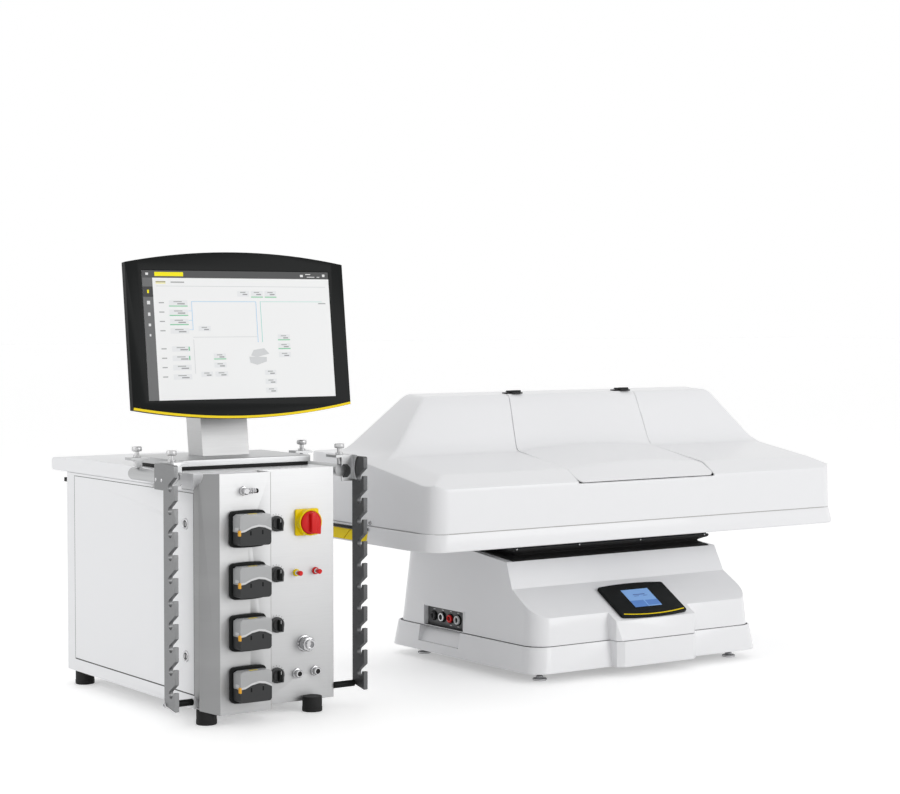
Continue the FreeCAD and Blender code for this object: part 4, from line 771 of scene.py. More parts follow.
def make_socket_bay():
    """The recessed socket panel in the left end: deep white reveals and four round sockets."""
    reveal = Form(ROCKER)
    walls = (BAY_OUTER, BAY_INNER)
    reveal.block(walls, (BAY_FRONT - 1.6, BAY_FRONT + 0.4), (BAY_LOW - 1, BAY_HIGH + 1))
    reveal.block(walls, (BAY_BACK - 0.4, BAY_BACK + 1.6), (BAY_LOW - 1, BAY_HIGH + 1))
    reveal.block((BAY_OUTER + 3, BAY_INNER), (BAY_FRONT, BAY_BACK),
                 (BAY_HIGH - 0.4, BAY_HIGH + 1.6))
    reveal.piece("socket_bay_reveal", "white_shell")
    plate = Form(ROCKER)
    plate.block((PLATE_FACE, PLATE_FACE + 3), (BAY_FRONT + 0.5, BAY_BACK - 0.5),
                (BAY_LOW + 0.5, BAY_HIGH - 0.5), 0.4)
    plate.piece("socket_plate", "black_matte", SLATE, replaces=["socket_panel"])
    z = (BAY_LOW + BAY_HIGH) / 2
    marks = Form(ROCKER)
    for y, up in SOCKET_MARKS:
        marks.block((PLATE_FACE - 0.15, PLATE_FACE + 0.5), about(y, 3.2), about(z + up, 0.8))
    marks.piece("socket_marks", "white_shell", PALE_GREY)
    cores, rims = Form(ROCKER), Form(ROCKER)
    for name, finish, slot, y, radius in ROUND_SOCKETS:
        hole = radius - 3.2
        ring = Form(ROCKER)
        ring.turned("X", ((hole, 1), (hole, 6), (radius - 0.8, 6), (radius, 5), (radius, -0.5),
                          (hole, -0.5), (hole, 1)), 32, (y, z), PLATE_FACE, -1)
        ring.piece(name, slot, finish)
        cores.rod("X", radius - 3, PLATE_FACE - 3, PLATE_FACE + 0.5, (y, z), 0.4)
        rim = ring_profile(radius + 0.2, radius + 2.2, -0.2, 2.4)
        rims.turned("X", rim, 32, (y, z), PLATE_FACE, -1)
    cores.piece("socket_cores", "black_matte", BLACK_AND_PAINTED_SHADE)
    rims.piece("socket_rims", "black_gloss")


def slope():
    """The matrix of the console's slope: its own X and Y lie in the slope."""
    return Matrix.Translation((0, -228, 125)) @ Matrix.Rotation(math.atan2(49, 82), 4, "X")


# The console's lit fields: name, colour and, for each, left, right, foot, top and height.
CONSOLE_FIELDS = (
    ("console_screen", (0.26, 0.47, 0.86), ((-36, 33, -2, 53, 7.3),)),
    ("console_screen_foot", (0.12, 0.27, 0.66), ((-36, -2, -2, 18, 7.5), (1, 33, 1, 17, 7.5))),
    ("console_screen_marks", (0.09, 0.15, 0.42),
     ((-16, 14, 35, 37.2, 7.55), (-16, -4, 31, 32.2, 7.55), (8, 18, 31, 32.2, 7.55))),
)
CONSOLE_BOW = 452.0


def make_console():
    """The rocker's own small display: a bowed black plate, a blue screen and a yellow line."""
    outline = ((-84, -24), (0, -33), (84, -24), (84, 70), (0, 78), (-84, 70))
    plate = Form(ROCKER)
    plate.bowed_plate("Z", outline, 0.3, 7, (60, 12), (5, 4), 1.6)
    plate.moved(slope()).piece("console_plate", "black_gloss", replaces=["console_display"])
    sweep = 2 * math.asin(78 / CONSOLE_BOW)
    line = Form(ROCKER)
    line.swung("Z", oblong(CONSOLE_BOW, 6.95, 1.2, 0.55), (0, CONSOLE_BOW - 25.5),
               -math.pi / 2 - sweep / 2, sweep, 24)
    line.moved(slope()).piece("console_line", "yellow")
    for name, color, places in CONSOLE_FIELDS:
        field = Form(ROCKER)
        for left, right, foot, head, top in places:
            field.block((left, right), (foot, head), (6.5, top))
        field.moved(slope()).piece(name, "screen", printed(name, color))


GAITER_HALF, GAITER_DEEP, GAITER_FOLD = 257.0, 122.0, 17.0
GAITER_LOW, GAITER_APEX, GAITER_HIGH = 225.4, 237.4, 246.7
GAITER_LEVELS, GAITER_RIBS, RIB_HEIGHT, GAITER_WALL = 12, (2, 4, 8, 10), 0.8, 1.4


def make_gaiter():
    """The folded rubber gaiter: ribbed and narrow at half its height."""
    form = Form(ROCKER)
    bm = form.bm
    spots = [bm.verts.new((x, y, 0)) for x, y in oblong(0, 0, GAITER_HALF, GAITER_DEEP)]
    ring = [bm.edges.new((spots[index], spots[index - 3])) for index in range(4)]
    bmesh.ops.subdivide_edges(bm, edges=ring, cuts=15)
    ring = list(bm.edges)
    rows = [list(bm.verts)]
    for _ in range(GAITER_LEVELS):
        row, ring = grown_ring(bm, ring)
        rows.append(row)
    for index, row in enumerate(rows):
        share = index / GAITER_LEVELS
        pulled = GAITER_FOLD * (1 - math.cos(math.tau * share)) / 2
        ripple = RIB_HEIGHT if index in GAITER_RIBS else 0.0
        for spot in row:
            x, y = spot.co.x, spot.co.y
            back = abs(y) / GAITER_DEEP
            foot = GAITER_APEX - (GAITER_APEX - GAITER_LOW) * back
            spot.co.x = math.copysign(abs(x) - pulled * abs(x) / GAITER_HALF + ripple, x)
            spot.co.y = math.copysign(max(0.0, abs(y) - pulled * back + ripple * back), y)
            spot.co.z = foot + (GAITER_HIGH - foot) * share
    bmesh.ops.recalc_face_normals(bm, faces=bm.faces)
    bmesh.ops.solidify(bm, geom=bm.faces, thickness=GAITER_WALL)
    gaiter = form.piece("gaiter_bellows", "black_matte", RUBBER, None, 40.0, ["rocker_gaiter"])
    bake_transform(gaiter)


def make_platform():
    """The black platform with its ribbed front edge and the clamp screws along it."""
    rounded("rocking_platform", "platform_bed", 0.0008)
    ribs, screws = Form(ROCKER), Form(ROCKER)
    for side in (-1, 1):
        for z in (254.5, 260.5):
            ribs.block((-252, 252), sorted((side * 117, side * 120)), (z, z + 1.6), 0.5)
        for x in (-247, -90, 70, 245):
            cap_screw(screws, "Y", (x, 248.6), side * 121.6, side, 1.7)
    ribs.piece("platform_ribs", "black_gloss", body="rocker")
    screws.piece("platform_screws", "chrome", body="rocker")


FOOT_PROFILE = ((0, 0), (13.2, 0), (14.3, 1), (14.3, 4), (12.8, 5.2), (8, 6.4), (7, 9.4), (0, 9.4))
THREAD_TURNS, THREAD_PITCH = 5, 2


def make_levelling_feet():
    """Turned chrome feet on threaded stems."""
    profile = [(0, 9)]
    for turn in range(THREAD_TURNS):
        profile += [(4.3, 9 + THREAD_PITCH * turn), (5.0, 10 + THREAD_PITCH * turn)]
    profile += [(4.3, 19.3), (0, 19.3)]
    feet, threads = Form(ROCKER), Form(ROCKER)
    for x in (-247, 247):
        for y in (-196, 203):
            feet.turned("Z", FOOT_PROFILE, 40, (x, y))
            threads.turned("Z", profile, 24, (x, y))
    feet.piece("foot_discs", "chrome", replaces=["levelling_feet"])
    threads.piece("foot_threads", "chrome", DULL_STEEL)


# ---- tower: pumps and front fittings ---------------------------------------------------------

PUMP_X, PUMP_Z, PUMP_PITCH = 51.5, 340.5, 90.6
KNOB_X, KNOB_Z = 138.5, 340.0
PANEL_BACK = 45.9
# The pump's dark nose starts this far in front of the panel, in metres.
NOSE_START = 0.0091
COVER_EDGE = ((-31, -4), (-22, -3), (-9, 2.5), (5.5, 5), (18, 3), (31, -3))
# Blocks on a pump: name, slot, finish, whether the cover lifts them, edge and limits.
PUMP_TRIMS = (
    ("pump_mark_", "yellow", None, True, 0.3, [((-8, 8), (-26, -20), (26.6, 27.35))]),
    # Painted shade: dark blocks in the pump's two tube notches.
    ("pump_notch_shade_", "black_matte", FINISHES["black_gloss"], False, 0.3,
     [((-11.5, -8.5), (-35.25, -34.5), (-9, -1.5)), ((12, 15), (-35.25, -34.5), (-8, -0.5))]),
    ("pump_catch_", "yellow", AMBER, False, 0.9, [((-33.4, -29.4), (-36, -30), (-9.5, 0.5))]),
    ("pump_latch_", "pump_grey", PALE_GREY, True, 0.7, [((-32.6, -30.6), (-31, -19), (-0.5, 5))]),
)


def make_pump(letter, z):
    """A peristaltic pump: black back plate, dark nose, silver flip-up cover and amber catch."""
    head = "pump_head_" + letter
    on_cover = nodes["pump_cover_" + letter]["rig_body"]
    split = Vector((0, TOWER.y - NOSE_START, 0))
    nose = copied(head)
    bmesh.ops.bisect_plane(nose, geom=nose.verts[:] + nose.edges[:] + nose.faces[:], plane_co=split,
                           plane_no=(0, 1, 0), clear_outer=True)
    bmesh.ops.holes_fill(nose, edges=[edge for edge in nose.edges if edge.is_boundary], sides=0)
    nose = kept(nose, "pump_nose_" + letter, "black_matte", DARK_GREY, smooth=50.0)
    edged(nose, 0.0012, 2, 40.0)

    def pump_form():
        return Form(TOWER, PUMP_X, 0, z)

    outline = ((-35, -31), (0, -34), (35, -31), (35, 31), (0, 34), (-35, 31))
    plate = pump_form().bowed_plate("Y", outline, -9, 0, (24, 8), (8, 5), 1.4)
    plate = plate.piece("pump_plate_" + letter, "black_gloss")
    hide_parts(head)
    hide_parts(head)

    rounded("pump_cover_" + letter, "pump_hood_" + letter, 0.0032, 3)
    band = [(x, up + 0.4) for x, up in COVER_EDGE]
    band += [(x, up + 4.2) for x, up in reversed(COVER_EDGE)]
    lip = pump_form().slab("Y", band, -35.7, -34.2, edge=0.4)
    lip.piece("pump_lip_" + letter, "pump_grey", PALE_GREY, on_cover, 60.0)
    for word, slot, finish, lifts, edge, blocks in PUMP_TRIMS:
        trim = pump_form()
        for limits in blocks:
            trim.block(*limits, edge)
        trim.piece(word + letter, slot, finish, on_cover if lifts else "root")
    nodes["pump_rotor_" + letter].data.materials[0] = DULL_STEEL.material


SKIRT = ((0, 0), (13.8, 0), (14.2, 0.8), (14.0, 4.2), (12.8, 5.2), (11.0, 5.2), (10.4, 8.6),
         (9.6, 9.4), (0, 9.4))
SKIRT_POINT = ((3, -3), (3, -13.4), (12.4, -13.4), (13, -3))
DIAL_RADIUS, DIAL_MARKS, DIAL_START, DIAL_STEP = 17.0, 7, -60, 20


def make_knob(letter, z):
    """A selector knob: pointed skirt, raised disc and an upright grip, with marks round it."""
    node = "selector_knob_" + letter
    front = PANEL_BACK - 0.5

    def knob_form():
        return Form(TOWER, KNOB_X, front, z)

    knob = Form(TOWER).turned("Y", SKIRT, 48, (KNOB_X, z), front, -1)
    point = [(KNOB_X + right, z + up) for right, up in SKIRT_POINT]
    knob.slab("Y", point, front - 4.8, front - 0.3, corner=0.8, edge=0.5, segments=3)
    knob.piece("knob_skirt_" + letter, "black_matte", CHARCOAL, node, 40.0, [node])
    grip = knob_form()
    grip.slab("Y", oblong(0, 0, 3.4, 10.2), -16.6, -5, corner=2.2, edge=1.0, segments=4)
    grip.piece("knob_grip_" + letter, "black_matte", FINISHES["black_gloss"], node, 40.0)
    pointer = knob_form().block((-0.5, 0.5), (-16.75, -15), (3.5, 9.4), 0.1)
    pointer.piece("knob_line_" + letter, "pump_grey", PALE_GREY, node)
    dial = knob_form()
    for index in range(DIAL_MARKS):
        turn = math.radians(DIAL_START + DIAL_STEP * index)
        dial.block(about(DIAL_RADIUS * math.sin(turn), 0.35), (0.38, 0.6),
                   about(DIAL_RADIUS * math.cos(turn), 0.9))
    dial.piece("knob_dial_" + letter, "black_matte", DARK_GREY)


SWITCH_COLLAR = ((20.9, 3), (23.5, 3), (23.5, 16), (22.6, 17), (21.6, 17), (20.9, 16), (20.9, 3))
SWITCH_DOME = ((0, 12.3), (19.6, 12.3), (20.4, 13), (20.4, 18.4), (19.2, 19.8), (15, 21.2),
               (8, 22.0), (0, 22.3))
SWITCH_POINT = ((6, -6), (5, -20), (19.4, -21.6), (20, -5))
SWITCH_GRIP = ((-5.2, -19), (5.2, -19), (6, 19), (-6, 19))


def switch_form():
    """A form on the middle of the main switch."""
    return Form(TOWER, 201.0, PANEL_BACK, 339.5)


def make_main_switch():
    """Yellow plate and collar, and a domed red handle with a pointed corner and a grip."""
    plate = switch_form().slab("Y", oblong(0, 0, 24, 24), -4, 0, corner=4, edge=0.9)
    plate.turned("Y", SWITCH_COLLAR, 64, way=-1)
    plate.rod("Y", 21.2, -11.8, -3.5, sides=64)
    plate.piece("switch_plate", "yellow", smooth=40.0, replaces=["main_switch_plate"])
    handle = switch_form()
    handle.turned("Y", SWITCH_DOME, 64, way=-1)
    handle.slab("Y", SWITCH_POINT, -19.7, -17.4, corner=1.6, edge=0.8, segments=4)
    handle.slab("Y", SWITCH_GRIP, -29, -19, corner=4.6, edge=1.8, segments=5)
    handle.piece("switch_handle", "red", None, "main_switch", 50.0, ["main_switch_handle"])
    mark = switch_form().block((-22.4, -20.6), (-4.2, -3.6), (-2, 2), 0.1)
    mark.piece("switch_mark", "black_matte", DARK_GREY)


# Turned fittings: pairs of radius and distance out of the panel, or along the barb.
SENSOR_RING = ((4.4, 0), (4.4, 3.2), (6.1, 3.4), (6.5, 2.8), (6.5, 0), (4.4, 0))
SENSOR_STEM = ((0, 12), (3.0, 12), (3.0, 5), (4.3, 4.4), (4.3, 0), (0, 0))
SENSOR_CAP = ((0, 18), (3.2, 18), (4.5, 16.8), (4.5, 11), (3.4, 10), (0, 10))
LEVEL_PLUG = ((0, 0), (15, 0), (15, 3), (14, 4), (11.5, 4.4), (11.5, 7), (13, 8), (13, 18),
              (12.2, 19), (9.5, 19.4), (9.5, 24), (8.6, 25), (6.4, 25), (6.0, 19), (0, 19))
LOWER_SOCKET = ((4.6, 3), (4.6, 12), (6.2, 12), (7, 11.2), (7, 3), (4.6, 3))
BARB_ELBOW = ((0, 0), (6, 0), (6, 12.6), (4.6, 14), (0, 14))
BARB = ((0, -2), (3.5, -2), (3.5, 7), (5, 8), (3.4, 12), (5, 13), (3.4, 17), (4.6, 18), (3.0, 21.5),
        (2.0, 22), (1.6, 14), (0, 14))
BARB_SEAL = ((1.7, 20.8), (3.9, 20.8), (4.2, 23), (3.2, 24.4), (1.7, 24.4), (1.7, 20.8))


def panel_form():
    """A form on the control panel's face."""
    return Form(TOWER, 0, PANEL_BACK, 0)


def make_sockets():
    """Sensor sockets with coloured rings and red caps, the turned connector and the lower pair."""
    caps, stems = panel_form(), panel_form()
    for name, spot, slot in (("ph_ring", (179.7, 249.5), "yellow"),
                             ("oxygen_ring", (219.5, 250.3), "red")):
        panel_form().turned("Y", SENSOR_RING, 40, spot, way=-1).piece(name, slot)
        stems.turned("Y", SENSOR_STEM, 32, spot, way=-1)
        caps.turned("Y", SENSOR_CAP, 32, spot, way=-1)
    stems.piece("sensor_stems", "chrome")
    caps.piece("sensor_caps", "red", replaces=["sensor_sockets"])

    plug = panel_form().turned("Y", LEVEL_PLUG, 48, (196, 121), way=-1)
    sides = [face for face in plug.bm.faces
             if face.calc_area() > 10 and abs(face.calc_center_median().y + 13) < 1]
    plug.bm.normal_update()
    bmesh.ops.inset_individual(plug.bm, faces=sides[::2], thickness=0.25, depth=-0.6)
    plug.piece("level_plug", "chrome", replaces=["level_connector"])

    rings, cores = panel_form(), panel_form()
    for spot in ((180, 68), (218, 69)):
        rings.rod("Y", 9.5, -3.2, 0, spot, 0.7, sides=6)
        rings.turned("Y", LOWER_SOCKET, 36, spot, way=-1)
        cores.rod("Y", 4.5, -10, -2, spot, 0.6)
    rings.piece("lower_socket_rings", "chrome", replaces=["lower_sockets"])
    cores.piece("lower_socket_cores", "black_matte", RUBBER)

    barb, tip = Form(TOWER, 46, 0, 406), Form(TOWER, 46, 0, 406)
    barb.rod("Y", 8.5, -4, 0, edge=0.6, sides=6)
    barb.turned("Y", BARB_ELBOW, 36, way=-1)
    barb.turned("X", BARB, 36, (-9, 0))
    barb.piece("overlay_barb", "chrome", replaces=["gas_overlay_fitting"])
    tip.turned("X", BARB_SEAL, 28, (-9, 0)).piece("overlay_seal", "black_matte", RUBBER)


# ---- tower: cabinet, racks and stand ---------------------------------------------------------

# Sheet metal whose edges are eased: node, piece, width in metres, segments and finish.
CABINET_SHEETS = (
    ("pump_panel", "pump_panel_sheet", 0.0007, 2, PANEL_STEEL),
    ("control_panel", "control_panel_sheet", 0.0005, 2, PANEL_STEEL),
    ("tower_top_cover", "top_cover_sheet", 0.0025, 3),
    ("left_side_cover", "left_cover_sheet", 0.0006),
    ("right_side_cover", "right_cover_sheet", 0.0006),
    ("tower_frame", "frame_sheet", 0.0005),
    ("rear_panel", "rear_sheet", 0.0006),
    ("display_foot_plate", "stand_plate", 0.0010),
    ("display_mast", "stand_mast", 0.0012, 2, STAND_STEEL),
)
RACK_SHEETS = (
    ("rack_left", "hose_rack_left", 0.0006),
    # The right rack is darker as painted shade.
    ("rack_right", "hose_rack_right", 0.0006, 2, PAINTED_SHADE_RACK_PLATE),
    ("rack_brackets", "rack_clamps", 0.0005),
    ("rack_rails", "rack_rail_bars", 0.0008),
    ("rack_rods", "rack_lower_rods", 0.0006, 2, FINISHES["black_gloss"]),
)
RUBBER_FOOT = ((0, 0), (17.4, 0), (18.4, 1.2), (18.4, 8), (17.9, 8.6), (17.9, 26), (17.2, 27),
               (0, 27))
FOOT_SIDE = 18.8


def make_cabinet():
    """The eased sheet metal, painted shade in its panel step and cover gaps, a black rubber strip
    under the stand that also paints the shadow in the gap under its plate, and the feet.
    """
    for sheet in CABINET_SHEETS:
        rounded(*sheet)
    low, high = box_on(TOWER, "pump_panel")
    # Painted shade: a thin dark line along the step between the pump panel and the control panel.
    line = Form(TOWER).block((100.7, 101.55), (-0.12, 0.6), (low.z + 0.6, high.z - 0.6))
    line.piece("panel_step_shade_line", "rack_grey", GREY_SEAL_AND_STEP_SHADE)
    make_cover_gap_shade()
    # A black rubber strip under the stand's plate, which also paints the shadow in the gap under it.
    strip = Form(TOWER).block((-18, 246), (113, 287), (436.7, 443.1), 1.0)
    strip.piece("stand_pad_and_gap_shade", "black_matte", RUBBER)
    low, high = box_on(TOWER, "tower_feet")
    feet = Form(TOWER)
    for x in (low.x + FOOT_SIDE, high.x - FOOT_SIDE):
        for y in (low.y + FOOT_SIDE, high.y - FOOT_SIDE):
            feet.turned("Z", RUBBER_FOOT, 40, (x, y))
    feet.piece("rubber_feet", "black_matte", RUBBER, replaces=["tower_feet"])


def make_cover_gap_shade():
    """Painted shade in the gaps round each side cover, widest along its foot."""
    for side, word in SIDES:
        node = word + "_side_cover"
        low, high = box_on(TOWER, node)
        face = outer_face(node, side)
        across = sorted((face + side * 0.12, face - side * 2))
        gaps = Form(TOWER)
        gaps.block(across, (low.y, high.y), (low.z - 1.6, low.z + 0.6))
        gaps.block(across, (low.y, high.y), (high.z - 0.2, high.z + 0.7))
        gaps.block(across, (high.y - 0.3, high.y + 0.7), (low.z, high.z))
        gaps.block(across, (low.y - 0.6, low.y + 0.3), (low.z, high.z))
        gaps.piece("cover_gap_shade_" + word, "black_matte", BLACK_AND_PAINTED_SHADE)


LOCK_Y, LOCK_HEIGHTS = 69, (347.3, 115.2)
LOCK_RIM = ((0, -0.6), (5.4, -0.6), (6.2, 0.1), (8.8, 0.5), (9.8, -0.2), (10.4, -2), (0, -2))


def make_locks():
    """Each side cover's two locks: chrome rim, and painted shade in the key slot and in a ring round
    the key.
    """
    for side, word in SIDES:
        face = outer_face("side_cover_locks", side)
        across = sorted((face - side * 0.8, face + side * 0.25))
        rims, slot_shades = Form(TOWER), Form(TOWER)
        for z in LOCK_HEIGHTS:
            rims.turned("X", LOCK_RIM, 40, (LOCK_Y, z), face, side)
            slot_shades.block(across, about(LOCK_Y, 1.6), about(z, 5), 0.2)
            slot_shades.turned("X", ring_profile(4.9, 6.4, -0.7, 0.16), 40, (LOCK_Y, z), face, side)
        rims.piece("lock_rims_" + word, "chrome")
        slot_shades.piece("lock_slot_shade_" + word, "black_matte", BLACK_AND_PAINTED_SHADE)


RIVET = ((0, 0.9), (2.2, 0.8), (3.2, 0.2), (3.2, -0.3), (0, -0.3))
SCREW_HEAD = ((0, 467.9), (7.6, 467.9), (8.6, 468.8), (9.0, 469.4), (9.0, 475.2), (8.2, 476.5),
              (5.0, 476.5), (4.4, 476.0), (0, 476.0))
SCREW_SHAFT = ((0, 433), (3.4, 433), (4.0, 434), (4.0, 467.9), (4.4, 468.2), (0, 468.2))
SCREW_NUT = ((0, 456.9), (6.6, 456.9), (7.0, 457.4), (7.0, 459.6), (6.4, 460.2), (0, 460.2))


def make_racks():
    """The eased racks with their rivets and end screws, and the four knurled thumbscrews."""
    for sheet in RACK_SHEETS:
        rounded(*sheet)
    rivets, ends = Form(TOWER), Form(TOWER)
    for side, word in SIDES:
        face = outer_face("rack_" + word, side)
        for y in (58.3, 79.8):
            rivets.turned("X", RIVET, 24, (y, 426.5), face, side)
        cap_screw(ends, "X", (46.5, 38), face, side, 4.4)
    rivets.piece("rack_rivets", "chrome")
    ends.piece("rack_rod_screws", "chrome")

    heads, shafts = Form(TOWER), Form(TOWER)
    for x in (-57, 285):
        for y in (68, 201.5):
            heads.turned("Z", SCREW_HEAD, 48, (x, y))
            shafts.turned("Z", SCREW_SHAFT, 28, (x, y))
            shafts.turned("Z", SCREW_NUT, 28, (x, y))
    heads.bm.normal_update()
    knurls = [face for face in heads.bm.faces if abs(face.normal.z) < 0.1
              and face.calc_center_median().z > 470 and face.calc_area() > 4]
    bmesh.ops.inset_individual(heads.bm, faces=knurls[::2], thickness=0.2, depth=-0.35)
    heads.piece("thumbscrew_heads", "chrome", SATIN_STEEL, replaces=["thumbscrews"])
    shafts.piece("thumbscrew_shafts", "chrome", SATIN_STEEL)


def make_catches():
    """The small tapered catch under the top cover on each side."""
    outline = ((124, 401.2), (188, 403.6), (188, 410.2), (178, 411.0), (124, 404.2))
    for side, word in SIDES:
        face = outer_face(word + "_side_cover", side)
        start, end = sorted((face - side * 1.0, face + side * 3.2))
        catch = Form(TOWER).slab("X", outline, start, end, corner=1.0, edge=0.6, segments=3)
        catch.piece("cover_catch_" + word, "stainless", DULL_STEEL)


# ---- tower: display --------------------------------------------------------------------------

DISPLAY_HALF, DISPLAY_BOW, DISPLAY_LEAN = 222.85, 20.0, -6.75
VENTS, VENT_FIRST, VENT_PITCH = 14, -104, 16
SCREEN_LEFT, SCREEN_RIGHT, SCREEN_LOW, SCREEN_HIGH = -191.0, 191.0, 15.6, 245.4


def leaning():
    """The matrix of the display's own frame: X across, Y back, Z up along its face."""
    return Matrix.Translation((114, 110, 546)) @ Matrix.Rotation(math.radians(DISPLAY_LEAN), 4, "X")


def make_display():
    """Black bezel, the bowed yellow strip along its foot, dark blocks of painted shade for the vents
    behind, and the screws behind.
    """
    rounded("display_housing", "display_case", 0.0016, 3)
    radius = (DISPLAY_HALF ** 2 + DISPLAY_BOW ** 2) / (2 * DISPLAY_BOW)
    sweep = 2 * math.asin((DISPLAY_HALF - 0.6) / radius)
    strip = Form(TOWER).swung("Y", oblong(radius - 2.5, 3.05, 2.1, 3.95), (0, radius - DISPLAY_BOW),
                              math.pi / 2 - sweep / 2, sweep, 48)
    strip.moved(leaning()).piece("display_strip", "yellow", body="display", smooth=30.0)
    vents, screws = Form(TOWER), Form(TOWER)
    # Painted shade: a dark block in each vent.
    for index in range(VENTS):
        vents.block(about(VENT_FIRST + VENT_PITCH * index, 5), (41.8, 43.6), (150, 176), 0.5)
    vents.moved(leaning()).piece("display_vent_shade", "black_matte", BLACK_AND_PAINTED_SHADE, "display")
    for x in (-170, 170):
        for z, face in ((40, 39.6), (178, 42.6)):
            cap_screw(screws, "Y", (x, z), face, 1, 3.4)
    screws.moved(leaning()).piece("display_screws", "chrome", DULL_STEEL, "display")


# Fields of the screen by colour: left, right, top and foot in thousandths of its width and height.
BOX_ROWS = [(130, 226, top, top + 42) for top in (230, 302, 374, 446)]
LOW_ROWS = [(132, 228, top, top + 42) for top in (585, 657, 729, 801)]
SIDE_BOXES = [(698, 764, top, top + 40) for top in (500, 570, 640)]
FOOT_BOXES = [(616, 678, top, top + 40) for top in (780, 850, 920)]
HEAD_BOXES = [(left, left + 64, 155, 200) for left in (492, 566, 640)]
MIDDLE_BOXES = [(348, 412, 645, 685), (348, 412, 715, 755), (276, 338, 785, 825),
                (350, 418, 785, 825), (276, 340, 430, 470)]
BOXES = BOX_ROWS + LOW_ROWS + SIDE_BOXES + FOOT_BOXES + HEAD_BOXES + MIDDLE_BOXES
LINED_BOXES = BOX_ROWS[:3] + SIDE_BOXES[:2] + HEAD_BOXES[1:] + MIDDLE_BOXES[:1]


def within(boxes):
    """Two short dark bars inside each box, one over the other."""
    bars = []
    for left, right, top, _ in boxes:
        wide = right - left
        bars.append((left + wide * 0.25, left + wide * 0.70, top + 8, top + 14))
        bars.append((left + wide * 0.45, left + wide * 0.85, top + 23, top + 32))
    return bars


# Each colour's fields: name, colour, layer and places.
SCREEN_FIELDS = (
    ("screen_page", (0.91, 0.915, 0.915), 1, [(52, 1000, 57, 1000)]),
    ("screen_bars", (0.075, 0.076, 0.078), 1, [(0, 1000, 0, 57)]),
    ("screen_side", (0.150, 0.152, 0.154), 1, [(0, 52, 57, 1000)]),
    ("screen_side_cell", (0.045, 0.045, 0.046), 2, [(0, 52, 125, 205)]),
    ("screen_panels", (0.84, 0.85, 0.86), 2, BOXES),
    ("screen_rules", (0.62, 0.63, 0.64), 2,
     [(70, 980, 119, 122), (246, 585, 515, 518), (246, 248, 535, 800)]),
    ("screen_blue", (0.42, 0.64, 0.86), 2,
     [(246, 588, 238, 242), (246, 249, 242, 460), (228, 246, 311, 314), (228, 246, 384, 387),
      (228, 246, 457, 460), (588, 591, 238, 560)]),
    ("screen_teal", (0.36, 0.68, 0.62), 2, [(612, 955, 238, 241), (612, 615, 241, 560)]),
    ("screen_green", (0.10, 0.55, 0.24), 3,
     [(left, right, foot, foot + 6) for left, right, _, foot in LINED_BOXES]
     + [(218, 223, 590, 620), (218, 223, 662, 692)]),
    ("screen_words", (0.34, 0.345, 0.35), 3,
     within(BOXES) + [(78, 104, row[2] + 16, row[2] + 23) for row in BOX_ROWS + LOW_ROWS]
     + [(145, 215, 86, 94), (935, 975, 250, 257)]),
    ("screen_tab", (0.98, 0.86, 0.0), 3,
     [(64, 212, 12, 44), (22, 31, 150, 176), (68, 118, 96, 100)]),
    ("screen_heading", (0.34, 0.30, 0.10), 3, [(68, 118, 84, 92)]),
    ("screen_icons", (0.80, 0.80, 0.80), 3,
     [(18, 32, 18, 36), (18, 34, 235, 262), (20, 32, 325, 350), (20, 32, 410, 430),
      (22, 30, 490, 508), (842, 858, 22, 40), (872, 900, 16, 22), (880, 922, 38, 43),
      (935, 950, 38, 43), (966, 980, 18, 38)]),
)


def make_screen():
    """A plain working page: a side bar, a tab, boxes of readings and the lines that join them."""
    nodes["display_screen"].data.materials[0] = FINISHES["screen"].material
    wide = (SCREEN_RIGHT - SCREEN_LEFT) / 1000
    tall = (SCREEN_HIGH - SCREEN_LOW) / 1000
    for name, color, layer, places in SCREEN_FIELDS:
        field = Form(TOWER)
        for left, right, top, foot in places:
            field.block((SCREEN_LEFT + wide * left, SCREEN_LEFT + wide * right),
                        (0.4 - 0.1 * layer, 0.5),
                        (SCREEN_HIGH - tall * foot, SCREEN_HIGH - tall * top))
        field.moved(leaning()).piece(name, "screen", printed(name, color), "display")
    x, z = SCREEN_LEFT + wide * 583, SCREEN_HIGH - tall * 660
    sketch = Form(TOWER)
    for front, outline in ((0.1, ((-18, -3), (-16, -14), (-2, -18), (18, -12), (18, -4))),
                           (0.08, ((-14, -1), (-8, 9), (14, 12), (24, 2), (-2, -4)))):
        sketch.slab("Y", [(x + right, z + up) for right, up in outline], front, 0.4)
    sketch.moved(leaning())
    sketch.piece("screen_sketch", "screen", printed("screen_sketch", (0.66, 0.67, 0.68)), "display")


# ---- the whole part --------------------------------------------------------------------------

for name, node in nodes.items():
    node.data.materials.clear()
    node.data.materials.append(FINISHES[SLOT_OF[name]].material)

make_hood()
make_lid()
make_lid_hinges()
make_tray()
make_hood_screws()
make_base()
make_socket_bay()
make_console()
make_gaiter()
make_platform()
make_levelling_feet()
for index, letter in enumerate("abcd"):
    make_pump(letter, PUMP_Z - PUMP_PITCH * index)
    make_knob(letter, KNOB_Z - PUMP_PITCH * index)
make_main_switch()
make_sockets()
make_cabinet()
make_locks()
make_racks()
make_catches()
make_display()
make_screen()


# ---- stage, light and camera -----------------------------------------------------------------

WORLD_LEVEL = 0.66
FLOOR_GLOW = 0.33
FLOOR_HALF = 40
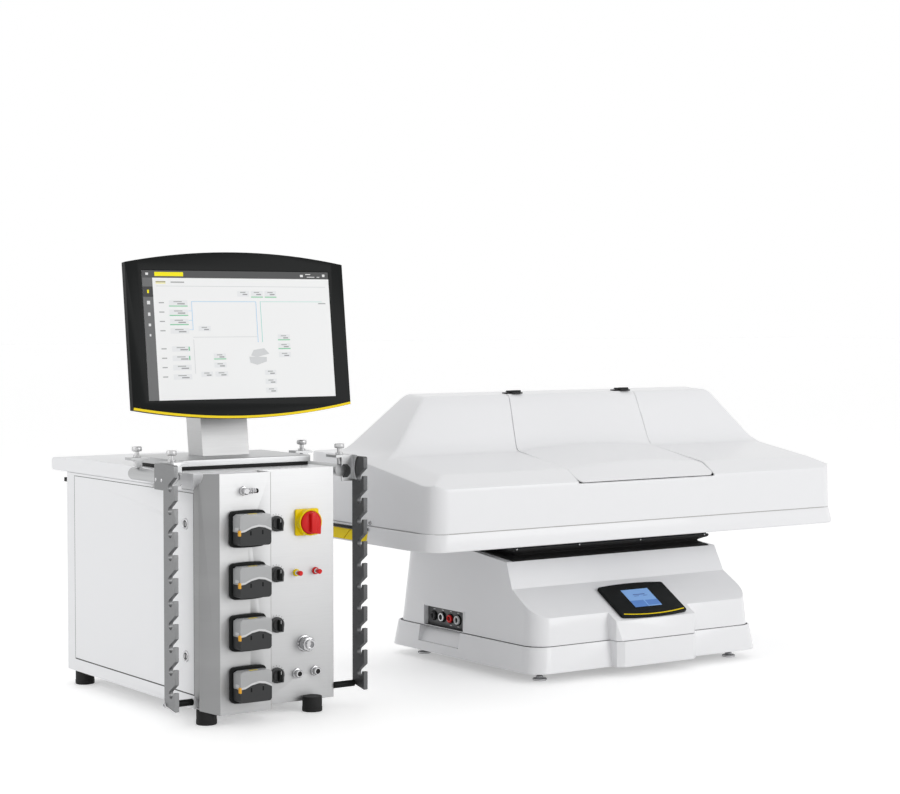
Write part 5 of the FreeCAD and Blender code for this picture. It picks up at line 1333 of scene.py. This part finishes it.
# Lamps: name, place, what they face, width and height, and watts.
LAMPS = (
    ("right front softbox", (2.6, -5.2, 1.9), (0.1, 0, 0.35), (3.6, 2.6), 98),
    ("left softbox", (-2.3, 0.3, 0.9), (-0.75, 0.15, 0.25), (1.6, 1.2), 7),
    ("overhead softbox", (0.0, 1.2, 4.2), (0.0, 0, 0.2), (3.0, 3.0), 16),
)
CAMERA_PLACE = (-2.4472, -3.4903, 0.7166)
CAMERA_TURN = (math.pi / 2 - 0.0404, 0, -0.6096)
CAMERA_LENS, CAMERA_SENSOR = 84.208, 36


def maths(tree, operation, *values):
    """A node of arithmetic: each value is a number or another node's output."""
    made = tree.nodes.new("ShaderNodeMath")
    made.operation = operation
    for socket, value in zip(made.inputs, values):
        if isinstance(value, bpy.types.NodeSocket):
            tree.links.new(value, socket)
        else:
            socket.default_value = value
    return made.outputs[0]


def background_level(tree, factor, base):
    """A base, and a factor more where a ray comes from the camera, a mirror or a glass."""
    rays = tree.nodes.new("ShaderNodeLightPath").outputs
    seen = maths(tree, "MAXIMUM", rays["Is Camera Ray"], rays["Is Glossy Ray"])
    seen = maths(tree, "MAXIMUM", seen, rays["Is Transmission Ray"])
    return maths(tree, "MULTIPLY_ADD", seen, factor, base)


def set_stage():
    """Pale floor, white surroundings and soft studio lamps."""
    bm = bmesh.new()
    bmesh.ops.create_grid(bm, x_segments=1, y_segments=1, size=FLOOR_HALF)
    mesh = bpy.data.meshes.new("floor")
    bm.to_mesh(mesh)
    bm.free()
    floor = placed("floor", mesh)
    surface = Finish("pale floor", (0.90, 0.90, 0.90), 0.6)
    tree = surface.tree
    glow = tree.nodes.new("ShaderNodeEmission")
    tree.links.new(background_level(tree, FLOOR_GLOW, 0), glow.inputs["Strength"])
    both = tree.nodes.new("ShaderNodeAddShader")
    tree.links.new(glow.outputs[0], both.inputs[0])
    tree.links.new(surface.shader.outputs[0], both.inputs[1])
    tree.links.new(both.outputs[0], tree.nodes["Material Output"].inputs["Surface"])
    mesh.materials.append(surface.material)

    world = bpy.data.worlds.new("studio")
    bpy.context.scene.world = world
    world.use_nodes = True
    tree = world.node_tree
    sky = tree.nodes["Background"]
    sky.inputs["Color"].default_value = (1, 1, 1, 1)
    tree.links.new(background_level(tree, 1 - WORLD_LEVEL, WORLD_LEVEL), sky.inputs["Strength"])

    for name, place, aim, size, watts in LAMPS:
        lamp = bpy.data.lights.new(name, "AREA")
        lamp.shape = "RECTANGLE"
        lamp.size, lamp.size_y = size
        lamp.energy = watts
        holder = placed(name, lamp)
        holder.location = place
        holder.rotation_euler = (Vector(aim) - Vector(place)).to_track_quat("-Z", "Y").to_euler()


def set_camera():
    """The camera, in front of the part and to its left, a little below the display's top."""
    camera = bpy.data.cameras.new("camera")
    camera.lens = CAMERA_LENS
    camera.sensor_width = CAMERA_SENSOR
    camera.clip_end = 100
    holder = placed("camera", camera)
    holder.location = CAMERA_PLACE
    holder.rotation_euler = CAMERA_TURN
    bpy.context.scene.camera = holder


set_stage()
set_camera()
bpy.context.scene.view_settings.view_transform = "Standard"
